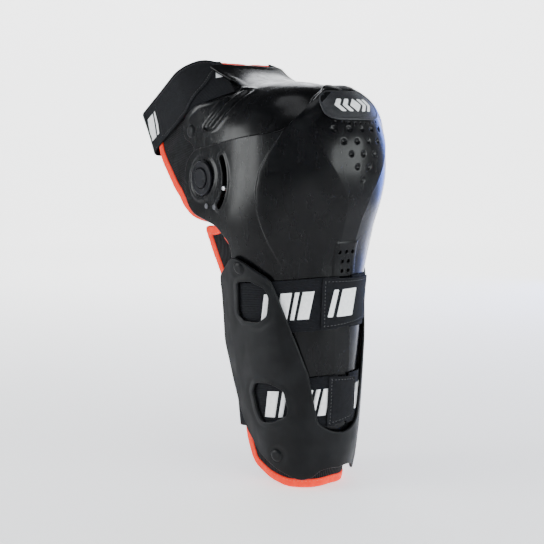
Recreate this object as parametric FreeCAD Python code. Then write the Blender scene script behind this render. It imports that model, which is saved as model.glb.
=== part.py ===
"""Hinged knee and shin guard, one side of a pair.

Frame: origin midway between the two hinge pivots, +X to the wearer's left, -Y forwards
out of the kneecap, +Z up along the shin.  Millimetres.  "Depth" is the distance forwards,
so depth = -Y.

Two sculpted forms give every curved piece its shape.  The shin form is fixed to the shin
and runs from the toe of the guard up to the lip over the knee.  The thigh form is drawn in
the thigh's own frame (f forwards, u up along the thigh) and leans back by REST_FLEXION.
A curved piece is a patch between two offsets of a form, trimmed by an outline seen from
the side.
"""
import FreeCAD, Part
import math
import os

V = FreeCAD.Vector

# ---- driving dimensions -----------------------------------------------------------------
REST_FLEXION = 36.0        # how far the thigh part leans back at rest, degrees
EXTENSION = 30.0           # travel from rest towards a straight leg, degrees
FLEXION = 45.0             # travel from rest towards a bent knee, degrees

SHELL = 3.0                # wall of the knee shell and of the shin shell
THIGH_SHELL = 2.8          # wall of the thigh shell
SHIN_LIFT = 2.5            # gap under the shin shell, where the calf straps run
LINER_GAP = 1.0            # between the knee shell and the shin liner
LINER = 9.0                # shin liner thickness
THIGH_LINER_GAP = 2.2      # between the thigh shell and the thigh liner
THIGH_LINER = 7.5          # thigh liner thickness
BINDING = 6.5              # width of the edge binding around each liner

HINGE_FACE = 81.6          # outer seat of a hinge, from the middle plane
EAR_OUTER = 78.0           # outer face of the thigh shell at the pivot
PIVOT_RADIUS = 4.0
PIVOT_CLEARANCE = 0.05
PLATE_RADIUS = 16.5
CAP_RADIUS = 9.5
STOP_RADIUS = 36.0         # distance of the stop pin from the pivot
STOP_ANGLE = -14.0         # where the stop pin sits at rest, from straight forwards
STOP_PIN = 2.4             # pin radius
STOP_PIN_INNER = 72.4      # its ends, from the middle plane
STOP_PIN_OUTER = 84.0
STOP_SLOT = 3.2
STOP_MARGIN = 1.5          # free travel left at each end of the slot, degrees

STRAP_WIDTH = 50.0
TAB_MARGIN = 1.0           # how much narrower a calf tab is than its strap, each side
STRAP = 1.4                # strap thickness
TAB_PLAY = 0.3             # between a calf strap and its tab
STRAP_GAP = 0.8            # strap above the shin form
THIGH_STRAP_GAP = 3.0      # strap below the thigh form

PAD_THICKNESS = 10.0       # knee pad
PAD_WIDTH = 64.0           # its half width

RIVET_HEAD = 6.6
RIVET_SHANK = 2.5
RIVET_HEIGHT = 2.0
SPACER_RADIUS = 5.0
SPACER_PLAY = 0.08         # room at each end of a spacer
VENT_HOLE = 1.9

PATCH_PLAY = 0.12          # room on each face of a hook-and-loop patch

HALF_SPAN = 130.0          # half length of the cutting prisms, past everything

# Shin form by height: station, height, front depth, half width, depth of the centre, fullness.
# Above the hinge the stations run further than the heights, because the lip curls back.
SHIN_FORM = [
    (-308, -308, 97, 41.0, 50, 2.10),
    (-240, -240, 108, 48.0, 48, 2.00),
    (-165, -165, 112, 56.0, 44, 2.00),
    (-95, -95, 114, 67.0, 38, 1.90),
    (-70, -70, 116, 74.0, 34, 1.95),
    (-45, -45, 124, 80.0, 30, 2.00),
    (-20, -20, 134, 82.0, 28, 2.10),
    (10, 10, 139, 82.0, 28, 2.20),
    (47, 46, 136, 79.5, 28, 2.05),
    (76, 71, 124, 73.0, 28, 1.95),
    (95, 83, 109, 66.0, 28, 1.90),
    (112, 89, 93, 60.0, 28, 1.90),
]
# Thigh form by height along the thigh: height, front, half width, fullness.  Below the
# pivot it is a dome turned about the hinge axis, which slides under the knee shell.
THIGH_FORM = [
    (-90, 122, 78, 2.3),
    (0, 122, 78, 2.3),
    (19, 118, 78, 2.3),
    (42, 99, 77, 2.3),
    (62, 76, 76, 2.3),
    (80, 60, 74, 2.3),
    (105, 46, 71, 2.3),
    (135, 39, 69, 2.3),
]
WING_DEPTH = 400.0         # how slowly the wings close in behind the widest place
# Knee pad by elevation in degrees about the hinge axis: reach of its outer face.  It draws
# in towards the top, where the thigh liner passes in front of it as the leg straightens.
PAD_FORM = [
    (-58, 107),
    (-10, 107),
    (5, 105),
    (18, 98),
    (31, 88),
    (44, 78),
]

os.makedirs("parts", exist_ok=True)


# ---- the two forms ----------------------------------------------------------------------
def smooth(table, x, column):
    """Cubic through one column of a station table."""
    last = len(table) - 1
    i = 0
    while i < last - 1 and table[i + 1][0] < x:
        i += 1

    def slope(j):
        if j == 0 or j == last:
            a, b = (table[0], table[1]) if j == 0 else (table[-2], table[-1])
            return (b[column] - a[column]) / (b[0] - a[0])
        h0 = table[j][0] - table[j - 1][0]
        h1 = table[j + 1][0] - table[j][0]
        d0 = (table[j][column] - table[j - 1][column]) / h0
        d1 = (table[j + 1][column] - table[j][column]) / h1
        return (d0 * h1 + d1 * h0) / (h0 + h1)

    h = table[i + 1][0] - table[i][0]
    t = (x - table[i][0]) / h
    start, end = table[i][column], table[i + 1][column]
    return ((2 * t**3 - 3 * t**2 + 1) * start + (t**3 - 2 * t**2 + t) * h * slope(i)
            + (3 * t**2 - 2 * t**3) * end + (t**3 - t**2) * h * slope(i + 1))


def oval(angle, half_width, reach, fullness):
    """Distance from the centre to a full oval, whose wings run back almost straight."""
    side = abs(math.sin(angle)) / half_width
    ahead = math.cos(angle)
    ahead = ahead / reach if ahead > 0 else -ahead / WING_DEPTH
    return (side**fullness + ahead**fullness) ** (-1.0 / fullness)


def shin_point(degrees, station, offset):
    """Point of the shin form, pushed outwards by offset; 0 degrees is the front."""
    height, front, width, centre, fullness = (
        smooth(SHIN_FORM, station, column) for column in range(1, 6))
    angle = math.radians(degrees)
    r = oval(angle, width + offset, front - centre + offset, fullness)
    return V(r * math.sin(angle), -(centre + r * math.cos(angle)), height)


def thigh_point(degrees, u, offset):
    """Point of the thigh form in the thigh's frame, where depth is f and height is u."""
    front, width, fullness = (smooth(THIGH_FORM, u, column) for column in range(1, 4))
    angle = math.radians(degrees)
    front += offset
    width += offset
    if u >= 0:
        r = oval(angle, width, front, fullness)
        return V(r * math.sin(angle), -r * math.cos(angle), u)
    low, high = 0.0, 300.0
    for _ in range(40):
        r = (low + high) / 2
        side = r * abs(math.sin(angle))
        ahead = r * math.cos(angle)
        round_pivot = math.hypot(ahead, u) / front if ahead > 0 else -ahead / WING_DEPTH
        inside = (side / width) ** fullness + round_pivot**fullness < 1
        low, high = (r, high) if inside else (low, r)
    return V(r * math.sin(angle), -r * math.cos(angle), u)


def pad_point(degrees, elevation, offset):
    """Point of the knee pad's outer face, laid out about the hinge axis."""
    front = smooth(PAD_FORM, elevation, 1) + offset
    width = PAD_WIDTH + offset
    fullness = THIGH_FORM[1][3]
    across = math.radians(degrees)
    up = math.radians(elevation)
    r = ((abs(math.sin(across)) / width) ** fullness
         + (math.cos(across) / front) ** fullness) ** (-1.0 / fullness)
    reach = r * math.cos(across)
    return V(r * math.sin(across), -reach * math.cos(up), reach * math.sin(up))


# ---- solids -----------------------------------------------------------------------------
def steps(start, end, count):
    return [start + (end - start) * i / (count - 1.0) for i in range(count)]


def surface(point, across, along, offset):
    skin = Part.BSplineSurface()
    skin.interpolate([[point(a, s, offset) for s in along] for a in across])
    return skin


def thick(point, across, along, outer, inner):
    """Closed solid between two offsets of a form."""
    skins = [surface(point, across, along, offset) for offset in (outer, inner)]
    faces = [skin.toShape() for skin in skins]
    u0, u1, v0, v1 = skins[0].bounds()
    for curve in (lambda s: s.uIso(u0), lambda s: s.uIso(u1),
                  lambda s: s.vIso(v0), lambda s: s.vIso(v1)):
        faces.append(Part.makeRuledSurface(curve(skins[0]).toShape(), curve(skins[1]).toShape()))
    shell = Part.Shell(faces)
    shell.sewShape()
    solid = Part.Solid(shell)
    if solid.Volume < 0:
        solid.reverse()
    return solid


def rounded(points, place):
    """Closed wire through (a, b, corner radius) points, laid out in space by place(a, b)."""
    edges = []
    count = len(points)
    start_of = []
    end_of = []
    for i, (a, b, radius) in enumerate(points):
        here = V(a, b, 0)
        back = V(points[i - 1][0], points[i - 1][1], 0) - here
        on = V(points[(i + 1) % count][0], points[(i + 1) % count][1], 0) - here
        half = back.getAngle(on) / 2
        reach = 0.0
        if radius > 0 and math.pi - 2 * half > 0.02:
            reach = min(radius / math.tan(half), 0.49 * back.Length, 0.49 * on.Length)
        back.normalize()
        on.normalize()
        start_of.append(here + back * reach)
        end_of.append(here + on * reach)
        if reach:
            bisector = back + on
            bisector.normalize()
            r = reach * math.tan(half)
            middle = here + bisector * (r / math.sin(half) - r)
            edges.append(Part.Arc(*[place(p.x, p.y) for p in (start_of[i], middle, end_of[i])]))
        if i:
            edges.append(Part.LineSegment(place(end_of[i - 1].x, end_of[i - 1].y),
                                          place(start_of[i].x, start_of[i].y)))
    edges.append(Part.LineSegment(place(end_of[-1].x, end_of[-1].y),
                                  place(start_of[0].x, start_of[0].y)))
    return Part.Wire(Part.__sortEdges__([edge.toShape() for edge in edges]))


def side_view(depth, height):
    return V(-HALF_SPAN, -depth, height)


def front_view(x, height):
    return V(x, 0, height)


def side_prism(points, inset=0.0):
    """Prism through the guard with an outline of (depth, height, corner radius) points."""
    face = Part.Face(rounded(points, side_view))
    if inset:
        face = face.makeOffset2D(-inset)
    return face.extrude(V(2 * HALF_SPAN, 0, 0))


def front_prism(points):
    """Prism running forwards with an outline of (x, height, corner radius) points."""
    return Part.Face(rounded(points, front_view)).extrude(V(0, -200, 0))


def drum(radius, x0, x1, depth=0.0, height=0.0):
    """Cylinder along X."""
    return Part.makeCylinder(radius, x1 - x0, V(x0, -depth, height), V(1, 0, 0))


def both_sides(shape):
    """The shape and its mirror image in the middle plane."""
    return [shape, shape.mirror(V(0, 0, 0), V(1, 0, 0))]


def lean(shape):
    """From the thigh's frame to the guard's frame at rest."""
    leaned = shape.copy()
    leaned.rotate(V(0, 0, 0), V(1, 0, 0), -REST_FLEXION)
    return leaned


def save(name, *solids):
    shape = solids[0] if len(solids) == 1 else Part.makeCompound(list(solids))
    if shape.ShapeType == "Compound" and len(shape.Solids) == 1:
        shape = shape.Solids[0]
    shape.exportStep("parts/%s.step" % name)
    print("%-26s %d solid(s) %9.0f mm3 valid %s" % (
        name, len(shape.Solids), shape.Volume, shape.isValid()))


def save_pair(name, right):
    """One node for each side; the drawn one is the wearer's left, on +X."""
    left, mirrored = both_sides(right)
    save(name + "_left", left)
    save(name + "_right", mirrored)


# ---- shared grids and outlines ----------------------------------------------------------
ROUND = steps(-128, 128, 41)
WIDE_ROUND = steps(-134, 134, 43)

KNEE_OUTLINE = [
    (88, 104, 0), (94, 89.5, 3), (105, 82.5, 8), (109.5, 66, 14), (98, 45.5, 14),
    (55, 39.5, 60), (17, 33, 60), (-33, 25, 28), (-33, -33, 26), (16, -46, 20),
    (34, -62, 14), (30, -86, 12), (58, -112, 20), (66, -190, 80), (62, -275, 8),
    (150, -275, 0), (150, 104, 0),
]
SHIN_OUTLINE = [
    (12, -95, 12), (40, -73, 14), (57, -80, 14), (78, -93, 10), (89, -131, 60),
    (97, -158, 60), (103, -184, 60), (106.5, -232, 8), (113.5, -243, 3), (150, -243, 0),
    (150, -279, 0), (104, -279, 8), (98, -288, 10), (90, -291, 12), (67, -281, 30),
    (46, -269, 30), (29, -249, 10), (19, -225, 20), (12, -199, 40), (4.5, -162, 50),
    (8, -125, 40),
]
UPPER_WINDOW = [
    (40, -99, 4), (57, -96.5, 5), (72, -102.5, 6), (74.5, -111, 6), (71, -129, 8),
    (62, -135.5, 8), (42, -136, 8), (33.5, -131, 6),
]
LOWER_WINDOW = [
    (44.5, -207, 4), (50, -197.5, 5), (68, -195.5, 12), (82, -200.5, 7), (85, -219, 7),
    (83, -226, 6), (69, -233.5, 8), (55, -236, 7), (48.5, -224, 8),
]
SHIN_LINER_OUTLINE = [
    (-10, -38, 14), (20, -38, 0), (36, -60, 14), (66, -98, 10), (150, -98, 0), (150, -286, 0),
    (99, -288, 4), (95, -301, 6), (70, -302, 40), (44, -297, 20), (22, -287, 16),
    (14, -262, 20), (13, -215, 30), (7, -160, 60), (4, -112, 40), (-3, -81, 30),
]
THIGH_OUTLINE = [
    (34, 112.5, 5), (41, 98, 60), (47.5, 87, 60), (63, 64, 30), (66.5, 57, 3), (59, 54.5, 5),
    (40, 63, 60), (21, 72.5, 20), (-3, 71, 14), (-10, 55, 8), (-2, 40, 14), (-4, 20, 0),
    (0, -27, 0), (12, -28.5, 8), (70, -104, 0), (150, -60, 0), (150, 104.5, 0),
    (46, 104.5, 6), (40, 110.5, 6),
]
THIGH_LINER_OUTLINE = [
    (-36, -18, 6), (-45.5, 0, 30), (-53, 28, 60), (-57, 66, 60), (-59, 96, 30), (-54, 123, 22),
    (-20, 130, 60), (20, 125, 60), (36, 117, 20), (46, 103, 10), (150, 103, 0),
    (150, -54.6, 0), (36, -13.1, 4), (20, -28, 0), (-20, -34, 0),
]
LOBE_RADIUS = 42.0         # thigh liner about the pivot
LOBE_GAP = 5.0             # between the two liners there
EAR_RADIUS = 27.0          # ears of the thigh shell about the pivot
KNEE_RIVET = (47.0, -84.0)     # depth and height of the rivets joining the two lower shells
TOE_RIVET = (70.0, -267.0)
THIGH_RIVET = (4.3, 53.0)      # f and u
EAR_SCREWS = [(5.5, -27.0), (18.5, -27.3)]


# ---- fasteners that stand square to a form ----------------------------------------------
def normal_at(point, degrees, station, offset):
    """Outward direction of a form."""
    step = 0.2
    along = point(degrees, station + step, offset) - point(degrees, station - step, offset)
    across = point(degrees + step, station, offset) - point(degrees - step, station, offset)
    out = across.cross(along)
    out.normalize()
    here = point(degrees, station, offset)
    centre = V(0, -40, here.z)
    return out if out.dot(here - centre) > 0 else out * -1


def find(point, depth, height, offset, low=20.0, high=150.0):
    """Angle on the +X side at which the form has this depth at this height."""
    for _ in range(50):
        middle = (low + high) / 2
        if -point(middle, height, offset).y > depth:
            low = middle
        else:
            high = middle
    return low


def turned(profile, foot, out):
    """Solid turned from (radius, height) points; a third value bulges the next edge."""
    edges = []
    for i, (radius, height, bulge) in enumerate(profile):
        end = profile[(i + 1) % len(profile)]
        start, stop = V(radius, 0, height), V(end[0], 0, end[1])
        if (stop - start).Length < 1e-6:
            continue
        if bulge:
            middle = (start + stop) / 2 + V(bulge, 0, bulge)
            edges.append(Part.Arc(start, middle, stop).toShape())
        else:
            edges.append(Part.makeLine(start, stop))
    solid = Part.Face(Part.Wire(edges)).revolve(V(0, 0, 0), V(0, 0, 1), 360)
    solid.Placement = FreeCAD.Placement(foot, FreeCAD.Rotation(V(0, 0, 1), out))
    return solid


def rivet(point, depth, height, top, bottom):
    """Domed rivet from offset bottom, where its tail is spread, to a head above top."""
    degrees = find(point, depth, height, top)
    foot = point(degrees, height, top)
    out = normal_at(point, degrees, height, top)
    tail = bottom - top
    profile = [(0, RIVET_HEIGHT, 0), (2.0, RIVET_HEIGHT, 0.55), (RIVET_HEAD, 0, 0),
               (RIVET_SHANK, 0, 0), (RIVET_SHANK, tail, 0), (RIVET_SHANK + 1.5, tail, 0),
               (RIVET_SHANK + 1.5, tail - 0.8, 0), (0, tail - 0.8, 0)]
    return turned(profile, foot, out)


def spacer(depth, height, rivet_top):
    """Spacer around a rivet's shank, which fills the gap between the two lower shells."""
    degrees = find(shin_point, depth, height, rivet_top)
    foot = shin_point(degrees, height, rivet_top)
    out = normal_at(shin_point, degrees, height, rivet_top)
    gap = thick(shin_point, steps(degrees - 12, degrees + 12, 9),
                steps(height - 12, height + 12, 7), SHIN_LIFT - SPACER_PLAY, SPACER_PLAY)
    reach = rivet_top + SHELL
    disc = Part.makeCylinder(SPACER_RADIUS, reach, foot - out * reach, out)
    bore = Part.makeCylinder(RIVET_SHANK, reach, foot - out * reach, out)
    return gap.common(disc).cut(bore)


# ---- shells -----------------------------------------------------------------------------
def stop_slot():
    """Arc slot in the ear of the knee shell, in which the stop pin travels."""
    first = STOP_ANGLE - EXTENSION - STOP_MARGIN
    last = STOP_ANGLE + FLEXION + STOP_MARGIN

    def at(radius, degrees):
        turned = math.radians(degrees)
        return V(70, -radius * math.cos(turned), radius * math.sin(turned))

    middle = (first + last) / 2
    outer = STOP_RADIUS + STOP_SLOT
    inner = STOP_RADIUS - STOP_SLOT
    edges = [Part.Arc(at(outer, first), at(outer, middle), at(outer, last)),
             Part.Arc(at(inner, first), at(inner, middle), at(inner, last))]
    for degrees, turn in ((first, -1), (last, 1)):
        bulge = at(STOP_RADIUS, degrees)
        turned = math.radians(degrees)
        bulge += V(0, STOP_SLOT * turn * math.sin(turned), STOP_SLOT * turn * math.cos(turned))
        edges.append(Part.Arc(at(outer, degrees), bulge, at(inner, degrees)))
    wire = Part.Wire(Part.__sortEdges__([edge.toShape() for edge in edges]))
    return Part.Face(wire).extrude(V(30, 0, 0))


def vent_holes():
    """Seven holes in the vent panel on the front of the shin."""
    places = [(x, -68.0) for x in (-8, 0, 8)]
    places += [(x, z) for z in (-77.0, -86.0) for x in (-4, 4)]
    return [Part.makeCylinder(VENT_HOLE, 60, V(x, -90, z), V(0, -1, 0)) for x, z in places]


def knee_shell(rivets, pins, screws):
    shell = thick(shin_point, ROUND, steps(-290, 112, 49), 0.0, -SHELL)
    shell = shell.common(side_prism(KNEE_OUTLINE))
    cuts = both_sides(stop_slot()) + vent_holes()
    cuts += both_sides(drum(PLATE_RADIUS + 0.3, HINGE_FACE, 95))
    cuts += both_sides(drum(PLATE_RADIUS, 70, EAR_OUTER + 1.0))
    return shell.cut(cuts + rivets + pins + screws)


def shin_shell(rivets):
    inner = SHIN_LIFT
    shell = thick(shin_point, ROUND, steps(-300, -60, 31), inner + SHELL, inner)
    shell = shell.common(side_prism(SHIN_OUTLINE))
    return shell.cut([side_prism(UPPER_WINDOW), side_prism(LOWER_WINDOW)] + rivets)


def thigh_shell(rivets, pins):
    shell = thick(thigh_point, ROUND, steps(-88, 122, 43), 0.0, -THIGH_SHELL)
    blade = side_prism(THIGH_OUTLINE).fuse(drum(EAR_RADIUS, -HALF_SPAN, HALF_SPAN))
    shell = shell.common(blade)
    bore = drum(PIVOT_RADIUS + PIVOT_CLEARANCE, -HALF_SPAN, HALF_SPAN)
    return shell.cut([bore] + rivets + pins)


def badge():
    """Blank oval badge plate on the brow of the knee shell."""
    plate = thick(shin_point, steps(-40, 40, 17), steps(48, 96, 9), 1.6, 0.0)
    oval_outline = [(-33, 57, 9), (-33, 74, 11), (-22, 80.5, 14), (22, 80.5, 14),
                    (33, 74, 11), (33, 57, 9), (20, 54.5, 14), (-20, 54.5, 14)]
    return plate.common(front_prism(oval_outline))


# ---- liners -----------------------------------------------------------------------------
def lined(point, across, along, outer, inner, blade, core_blade):
    """Liner and its binding: the same patch, split at the inset outline."""
    whole = thick(point, across, along, outer, inner).common(blade)
    return whole.common(core_blade), whole.cut(core_blade)


def shin_liner():
    outer = -SHELL - LINER_GAP
    hollow = drum(LOBE_RADIUS + LOBE_GAP, -HALF_SPAN, HALF_SPAN)
    wider = drum(LOBE_RADIUS + LOBE_GAP + BINDING, -HALF_SPAN, HALF_SPAN)
    blade = side_prism(SHIN_LINER_OUTLINE).cut(hollow)
    core = side_prism(SHIN_LINER_OUTLINE, BINDING).cut(wider)
    return lined(shin_point, ROUND, steps(-306, -10, 33), outer, outer - LINER, blade, core)


def thigh_liner():
    outer = -THIGH_SHELL - THIGH_LINER_GAP
    lobe = drum(LOBE_RADIUS, -HALF_SPAN, HALF_SPAN)
    inner_lobe = drum(LOBE_RADIUS - BINDING, -HALF_SPAN, HALF_SPAN)
    blade = side_prism(THIGH_LINER_OUTLINE).fuse(lobe)
    core = side_prism(THIGH_LINER_OUTLINE, BINDING).fuse(inner_lobe)
    pivot_room = drum(14.0, -HALF_SPAN, HALF_SPAN)
    liner, binding = lined(thigh_point, WIDE_ROUND, steps(-56, 134, 43), outer,
                           outer - THIGH_LINER, blade, core)
    return liner.cut(pivot_room), binding


def knee_pad():
    """Foam cup behind the kneecap, inside the thigh part's dome."""
    return thick(pad_point, steps(-58, 58, 25), steps(PAD_FORM[0][0], PAD_FORM[-1][0], 21),
                 0.0, -PAD_THICKNESS)


# ---- straps -----------------------------------------------------------------------------
def strap(point, inner, back, corner, edge, front_angle):
    """Strap that follows a form round the sides and runs straight across the back.

    inner is its offset from the form, back the depth of its run behind, edge(depth) the
    height of its lower edge, and front_angle where each end lies, from the front.
    """
    side_part, corner_part = 0.66, 0.14        # shares of each half of the loop

    def height_at(depth, rise):
        return edge(depth) + rise

    def place(share, rise, offset):
        half = abs(share)
        last = height_at(back + corner, rise)
        end = find(point, back + corner, last, inner)
        if half >= 1 - side_part:
            along = (1 - half) / side_part
            degrees = front_angle + (end - front_angle) * along
            station = last
            for _ in range(4):
                station = height_at(-point(degrees, station, inner).y, rise)
            spot = point(degrees, station, offset)
        else:
            side = point(end, last, inner)
            extra = offset - inner
            turn = min(1.0, (1 - side_part - half) / corner_part) * math.pi / 2
            x = side.x - corner + (corner + extra) * math.cos(turn)
            depth = back + corner - (corner + extra) * math.sin(turn)
            if half < 1 - side_part - corner_part:
                x *= half / (1 - side_part - corner_part)
            spot = V(x, -depth, height_at(depth, rise))
        return V(math.copysign(spot.x, share), spot.y, spot.z)

    return thick(place, steps(-1, 1, 101), steps(0, STRAP_WIDTH, 7), inner + STRAP, inner)


def upper_strap_edge(depth):
    return -141.0 - 0.12 * (112.0 - depth)


def lower_strap_edge(depth):
    return -236.0 - 0.13 * (110.0 - depth)


def thigh_strap_edge(depth):
    return 74.0 + 0.09 * max(0.0, 20.0 - depth) - 0.30 * max(0.0, depth - 12.0)


def calf_strap(edge, back):
    """Elastic strap round the calf; its ends meet under the tab in front."""
    return strap(shin_point, STRAP_GAP, back, 9.0, edge, 6.0)


def thigh_strap():
    """Elastic strap behind the thigh; its ends lie under the middle of the thigh shell."""
    return strap(thigh_point, -THIGH_STRAP_GAP - STRAP, -80.0, 12.0, thigh_strap_edge, 41.0)


def strap_tab(point, degrees, stations, inner, outline):
    """End of a strap folded over and pressed onto it."""
    tab = thick(point, steps(degrees[0], degrees[1], 15), steps(stations[0], stations[1], 9),
                inner + STRAP, inner)
    return tab.common(front_prism(outline))


def calf_tab(edge, left, right):
    """Front tab, from x = left to x = right, along a calf strap."""
    low = edge(110.0) + TAB_MARGIN
    high = low + STRAP_WIDTH - 2 * TAB_MARGIN
    outline = [(left, low, 2), (left, high, 2), (right, high - 3, 5), (right, low + 5, 5)]
    inner = STRAP_GAP + STRAP + TAB_PLAY
    return strap_tab(shin_point, (-40, 60), (low - 8, high + 8), inner, outline)


def thigh_tab():
    """Plain tab that closes the thigh strap, on the wearer's right."""
    inner = -THIGH_STRAP_GAP
    tab = thick(thigh_point, steps(-122, -50, 19), steps(70, 130, 9), inner + STRAP, inner)
    outline = [(-50, 80, 6), (-47, 128, 8), (30, 123, 10), (38, 112, 8), (33, 88, 12),
               (5, 76, 20), (-20, 77, 20)]
    return tab.common(side_prism(outline))


# ---- hinge ------------------------------------------------------------------------------
def hinge_pin():
    """Shouldered pin: pressed into the knee shell, flanged inside the thigh shell."""
    inside = EAR_OUTER - THIGH_SHELL - 0.5
    shaft = drum(PIVOT_RADIUS, inside - 1.5, HINGE_FACE + 1.2)
    flange = drum(9.0, inside - 1.5, inside)
    return shaft.fuse(flange).removeSplitter()


def hinge_plate():
    """Round cover plate with a recess for the cap."""
    face = HINGE_FACE
    plate = drum(PLATE_RADIUS, face, face + 3.2)
    rim = plate.Edges
    outer_rim = [e for e in rim if abs(e.CenterOfMass.x - (face + 3.2)) < 0.01]
    plate = plate.makeFillet(1.1, outer_rim)
    recess = drum(CAP_RADIUS + 1.0, face + 1.2, face + 5)
    return plate.cut([recess, drum(PIVOT_RADIUS, face - 1, face + 5)])


def hinge_cap():
    """Domed button over the end of the pin."""
    face = HINGE_FACE + 1.2
    height = 3.4
    cap = drum(CAP_RADIUS, face, face + height)
    top = [e for e in cap.Edges if abs(e.CenterOfMass.x - (face + height)) < 0.01]
    return cap.makeFillet(1.4, top)


def hinge_washer():
    """Nylon spacer between the knee shell and the thigh shell."""
    outer = EAR_OUTER + 1.0
    return drum(15.0, outer - 0.65, outer).cut(drum(PIVOT_RADIUS, 70, 90))


def stop_pin():
    """Pin on the thigh shell that runs in the slot of the knee shell."""
    turned = math.radians(STOP_ANGLE)
    depth = STOP_RADIUS * math.cos(turned)
    height = STOP_RADIUS * math.sin(turned)
    shaft = drum(STOP_PIN, STOP_PIN_INNER, STOP_PIN_OUTER, depth, height)
    top = [e for e in shaft.Edges if abs(e.CenterOfMass.x - STOP_PIN_OUTER) < 0.01]
    shaft = shaft.makeFillet(STOP_PIN / 2, top)
    head = drum(4.5, STOP_PIN_INNER, STOP_PIN_INNER + 1.0, depth, height)
    return shaft.fuse(head).removeSplitter()


def ear_screws():
    """Pan-head screws in the ear of the knee shell, below the hinge."""
    screws = []
    for depth, height in EAR_SCREWS:
        degrees = find(shin_point, depth, height, 0.0)
        seat = shin_point(degrees, height, 0.0).x
        head = drum(2.6, seat - 0.1, seat + 1.3, depth, height)
        top = [e for e in head.Edges if abs(e.CenterOfMass.x - (seat + 1.3)) < 0.01]
        head = head.makeFillet(0.7, top)
        screw = head.fuse(drum(1.3, seat - SHELL + 0.2, seat, depth, height))
        screws += both_sides(screw.removeSplitter())
    return screws


# ---- hook-and-loop patches --------------------------------------------------------------
def hook_patches(point, outer, inner, places, size, along):
    """Round patches that hold a liner in its shell, with a little play on each face."""
    skin = thick(point, ROUND, along, outer - PATCH_PLAY, inner + PATCH_PLAY)
    return [skin.common(drum(size, 20, HALF_SPAN, depth, height)) for depth, height in places]


# ---- assembly ---------------------------------------------------------------------------
def build_root():
    shin_top = SHIN_LIFT + SHELL
    upper = both_sides(rivet(shin_point, *KNEE_RIVET, shin_top, -SHELL))
    toe = both_sides(rivet(shin_point, *TOE_RIVET, shin_top, -SHELL))
    spacers = []
    for place in (KNEE_RIVET, TOE_RIVET):
        spacers += both_sides(spacer(*place, shin_top))
    pins = both_sides(hinge_pin())
    screws = ear_screws()

    save("knee_shell", knee_shell(upper + toe, pins, screws))
    save("shin_shell", shin_shell(upper + toe))
    save("badge_plate", badge())
    liner, binding = shin_liner()
    save("shin_liner", liner.cut(upper + toe))
    save("shin_binding", binding.cut(upper + toe))
    save("knee_pad", knee_pad())
    save("calf_strap_upper", calf_strap(upper_strap_edge, 0.5))
    save("calf_strap_lower", calf_strap(lower_strap_edge, 8.5))
    save("calf_tab_upper", calf_tab(upper_strap_edge, -25.0, 44.0))
    save("calf_tab_lower", calf_tab(lower_strap_edge, -17.0, 17.0))
    save("knee_rivets", *upper)
    save("toe_rivets", *toe)
    save("rivet_spacers", *spacers)
    save("ear_screws", *screws)
    save_pair("hinge_pin", hinge_pin())
    save_pair("hinge_plate", hinge_plate())
    save_pair("hinge_cap", hinge_cap())
    save_pair("hinge_washer", hinge_washer())
    patches = hook_patches(shin_point, -SHELL, -SHELL - LINER_GAP,
                           [(88, -100), (80, -205), (80, -250)], 11.0, steps(-290, -60, 31))
    save("shin_liner_patches", *[side for patch in patches for side in both_sides(patch)])


def build_thigh():
    rivets = both_sides(rivet(thigh_point, *THIGH_RIVET, 0.0, -THIGH_SHELL))
    pins = both_sides(stop_pin())
    pins_in_thigh = []
    for pin in pins:
        turned = pin.copy()
        turned.rotate(V(0, 0, 0), V(1, 0, 0), REST_FLEXION)
        pins_in_thigh.append(turned)
    liner, binding = thigh_liner()
    save("thigh_shell", lean(thigh_shell(rivets, pins_in_thigh)))
    save("thigh_liner", lean(liner.cut(pins_in_thigh + rivets)))
    save("thigh_binding", lean(binding))
    save("thigh_strap", lean(thigh_strap()))
    save("thigh_tab", lean(thigh_tab()))
    save("thigh_rivets", *[lean(piece) for piece in rivets])
    save("stop_pin_left", pins[0])
    save("stop_pin_right", pins[1])
    patches = hook_patches(thigh_point, -THIGH_SHELL, -THIGH_SHELL - THIGH_LINER_GAP,
                           [(60, 40), (80, 5)], 10.0, steps(-30, 90, 25))
    save("thigh_liner_patches", *[lean(side) for patch in patches
                                  for side in both_sides(patch)])


build_root()
build_thigh()
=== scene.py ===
"""Looks of the hinged knee and shin guard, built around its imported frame.

Lengths are in millimetres up to the moment a mesh is made, in the guard's own frame:
origin between the hinge pivots, +X to the wearer's left, -Y forwards, +Z up the shin.
"Depth" is the distance forwards.  Every shell, liner, pad and binding is drawn in a chart:
a sculpted form unrolled flat, with s running round it and v along it.
"""
import math

import bpy
import numpy as np
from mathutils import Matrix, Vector, kdtree
from mathutils.geometry import delaunay_2d_cdt


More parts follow.
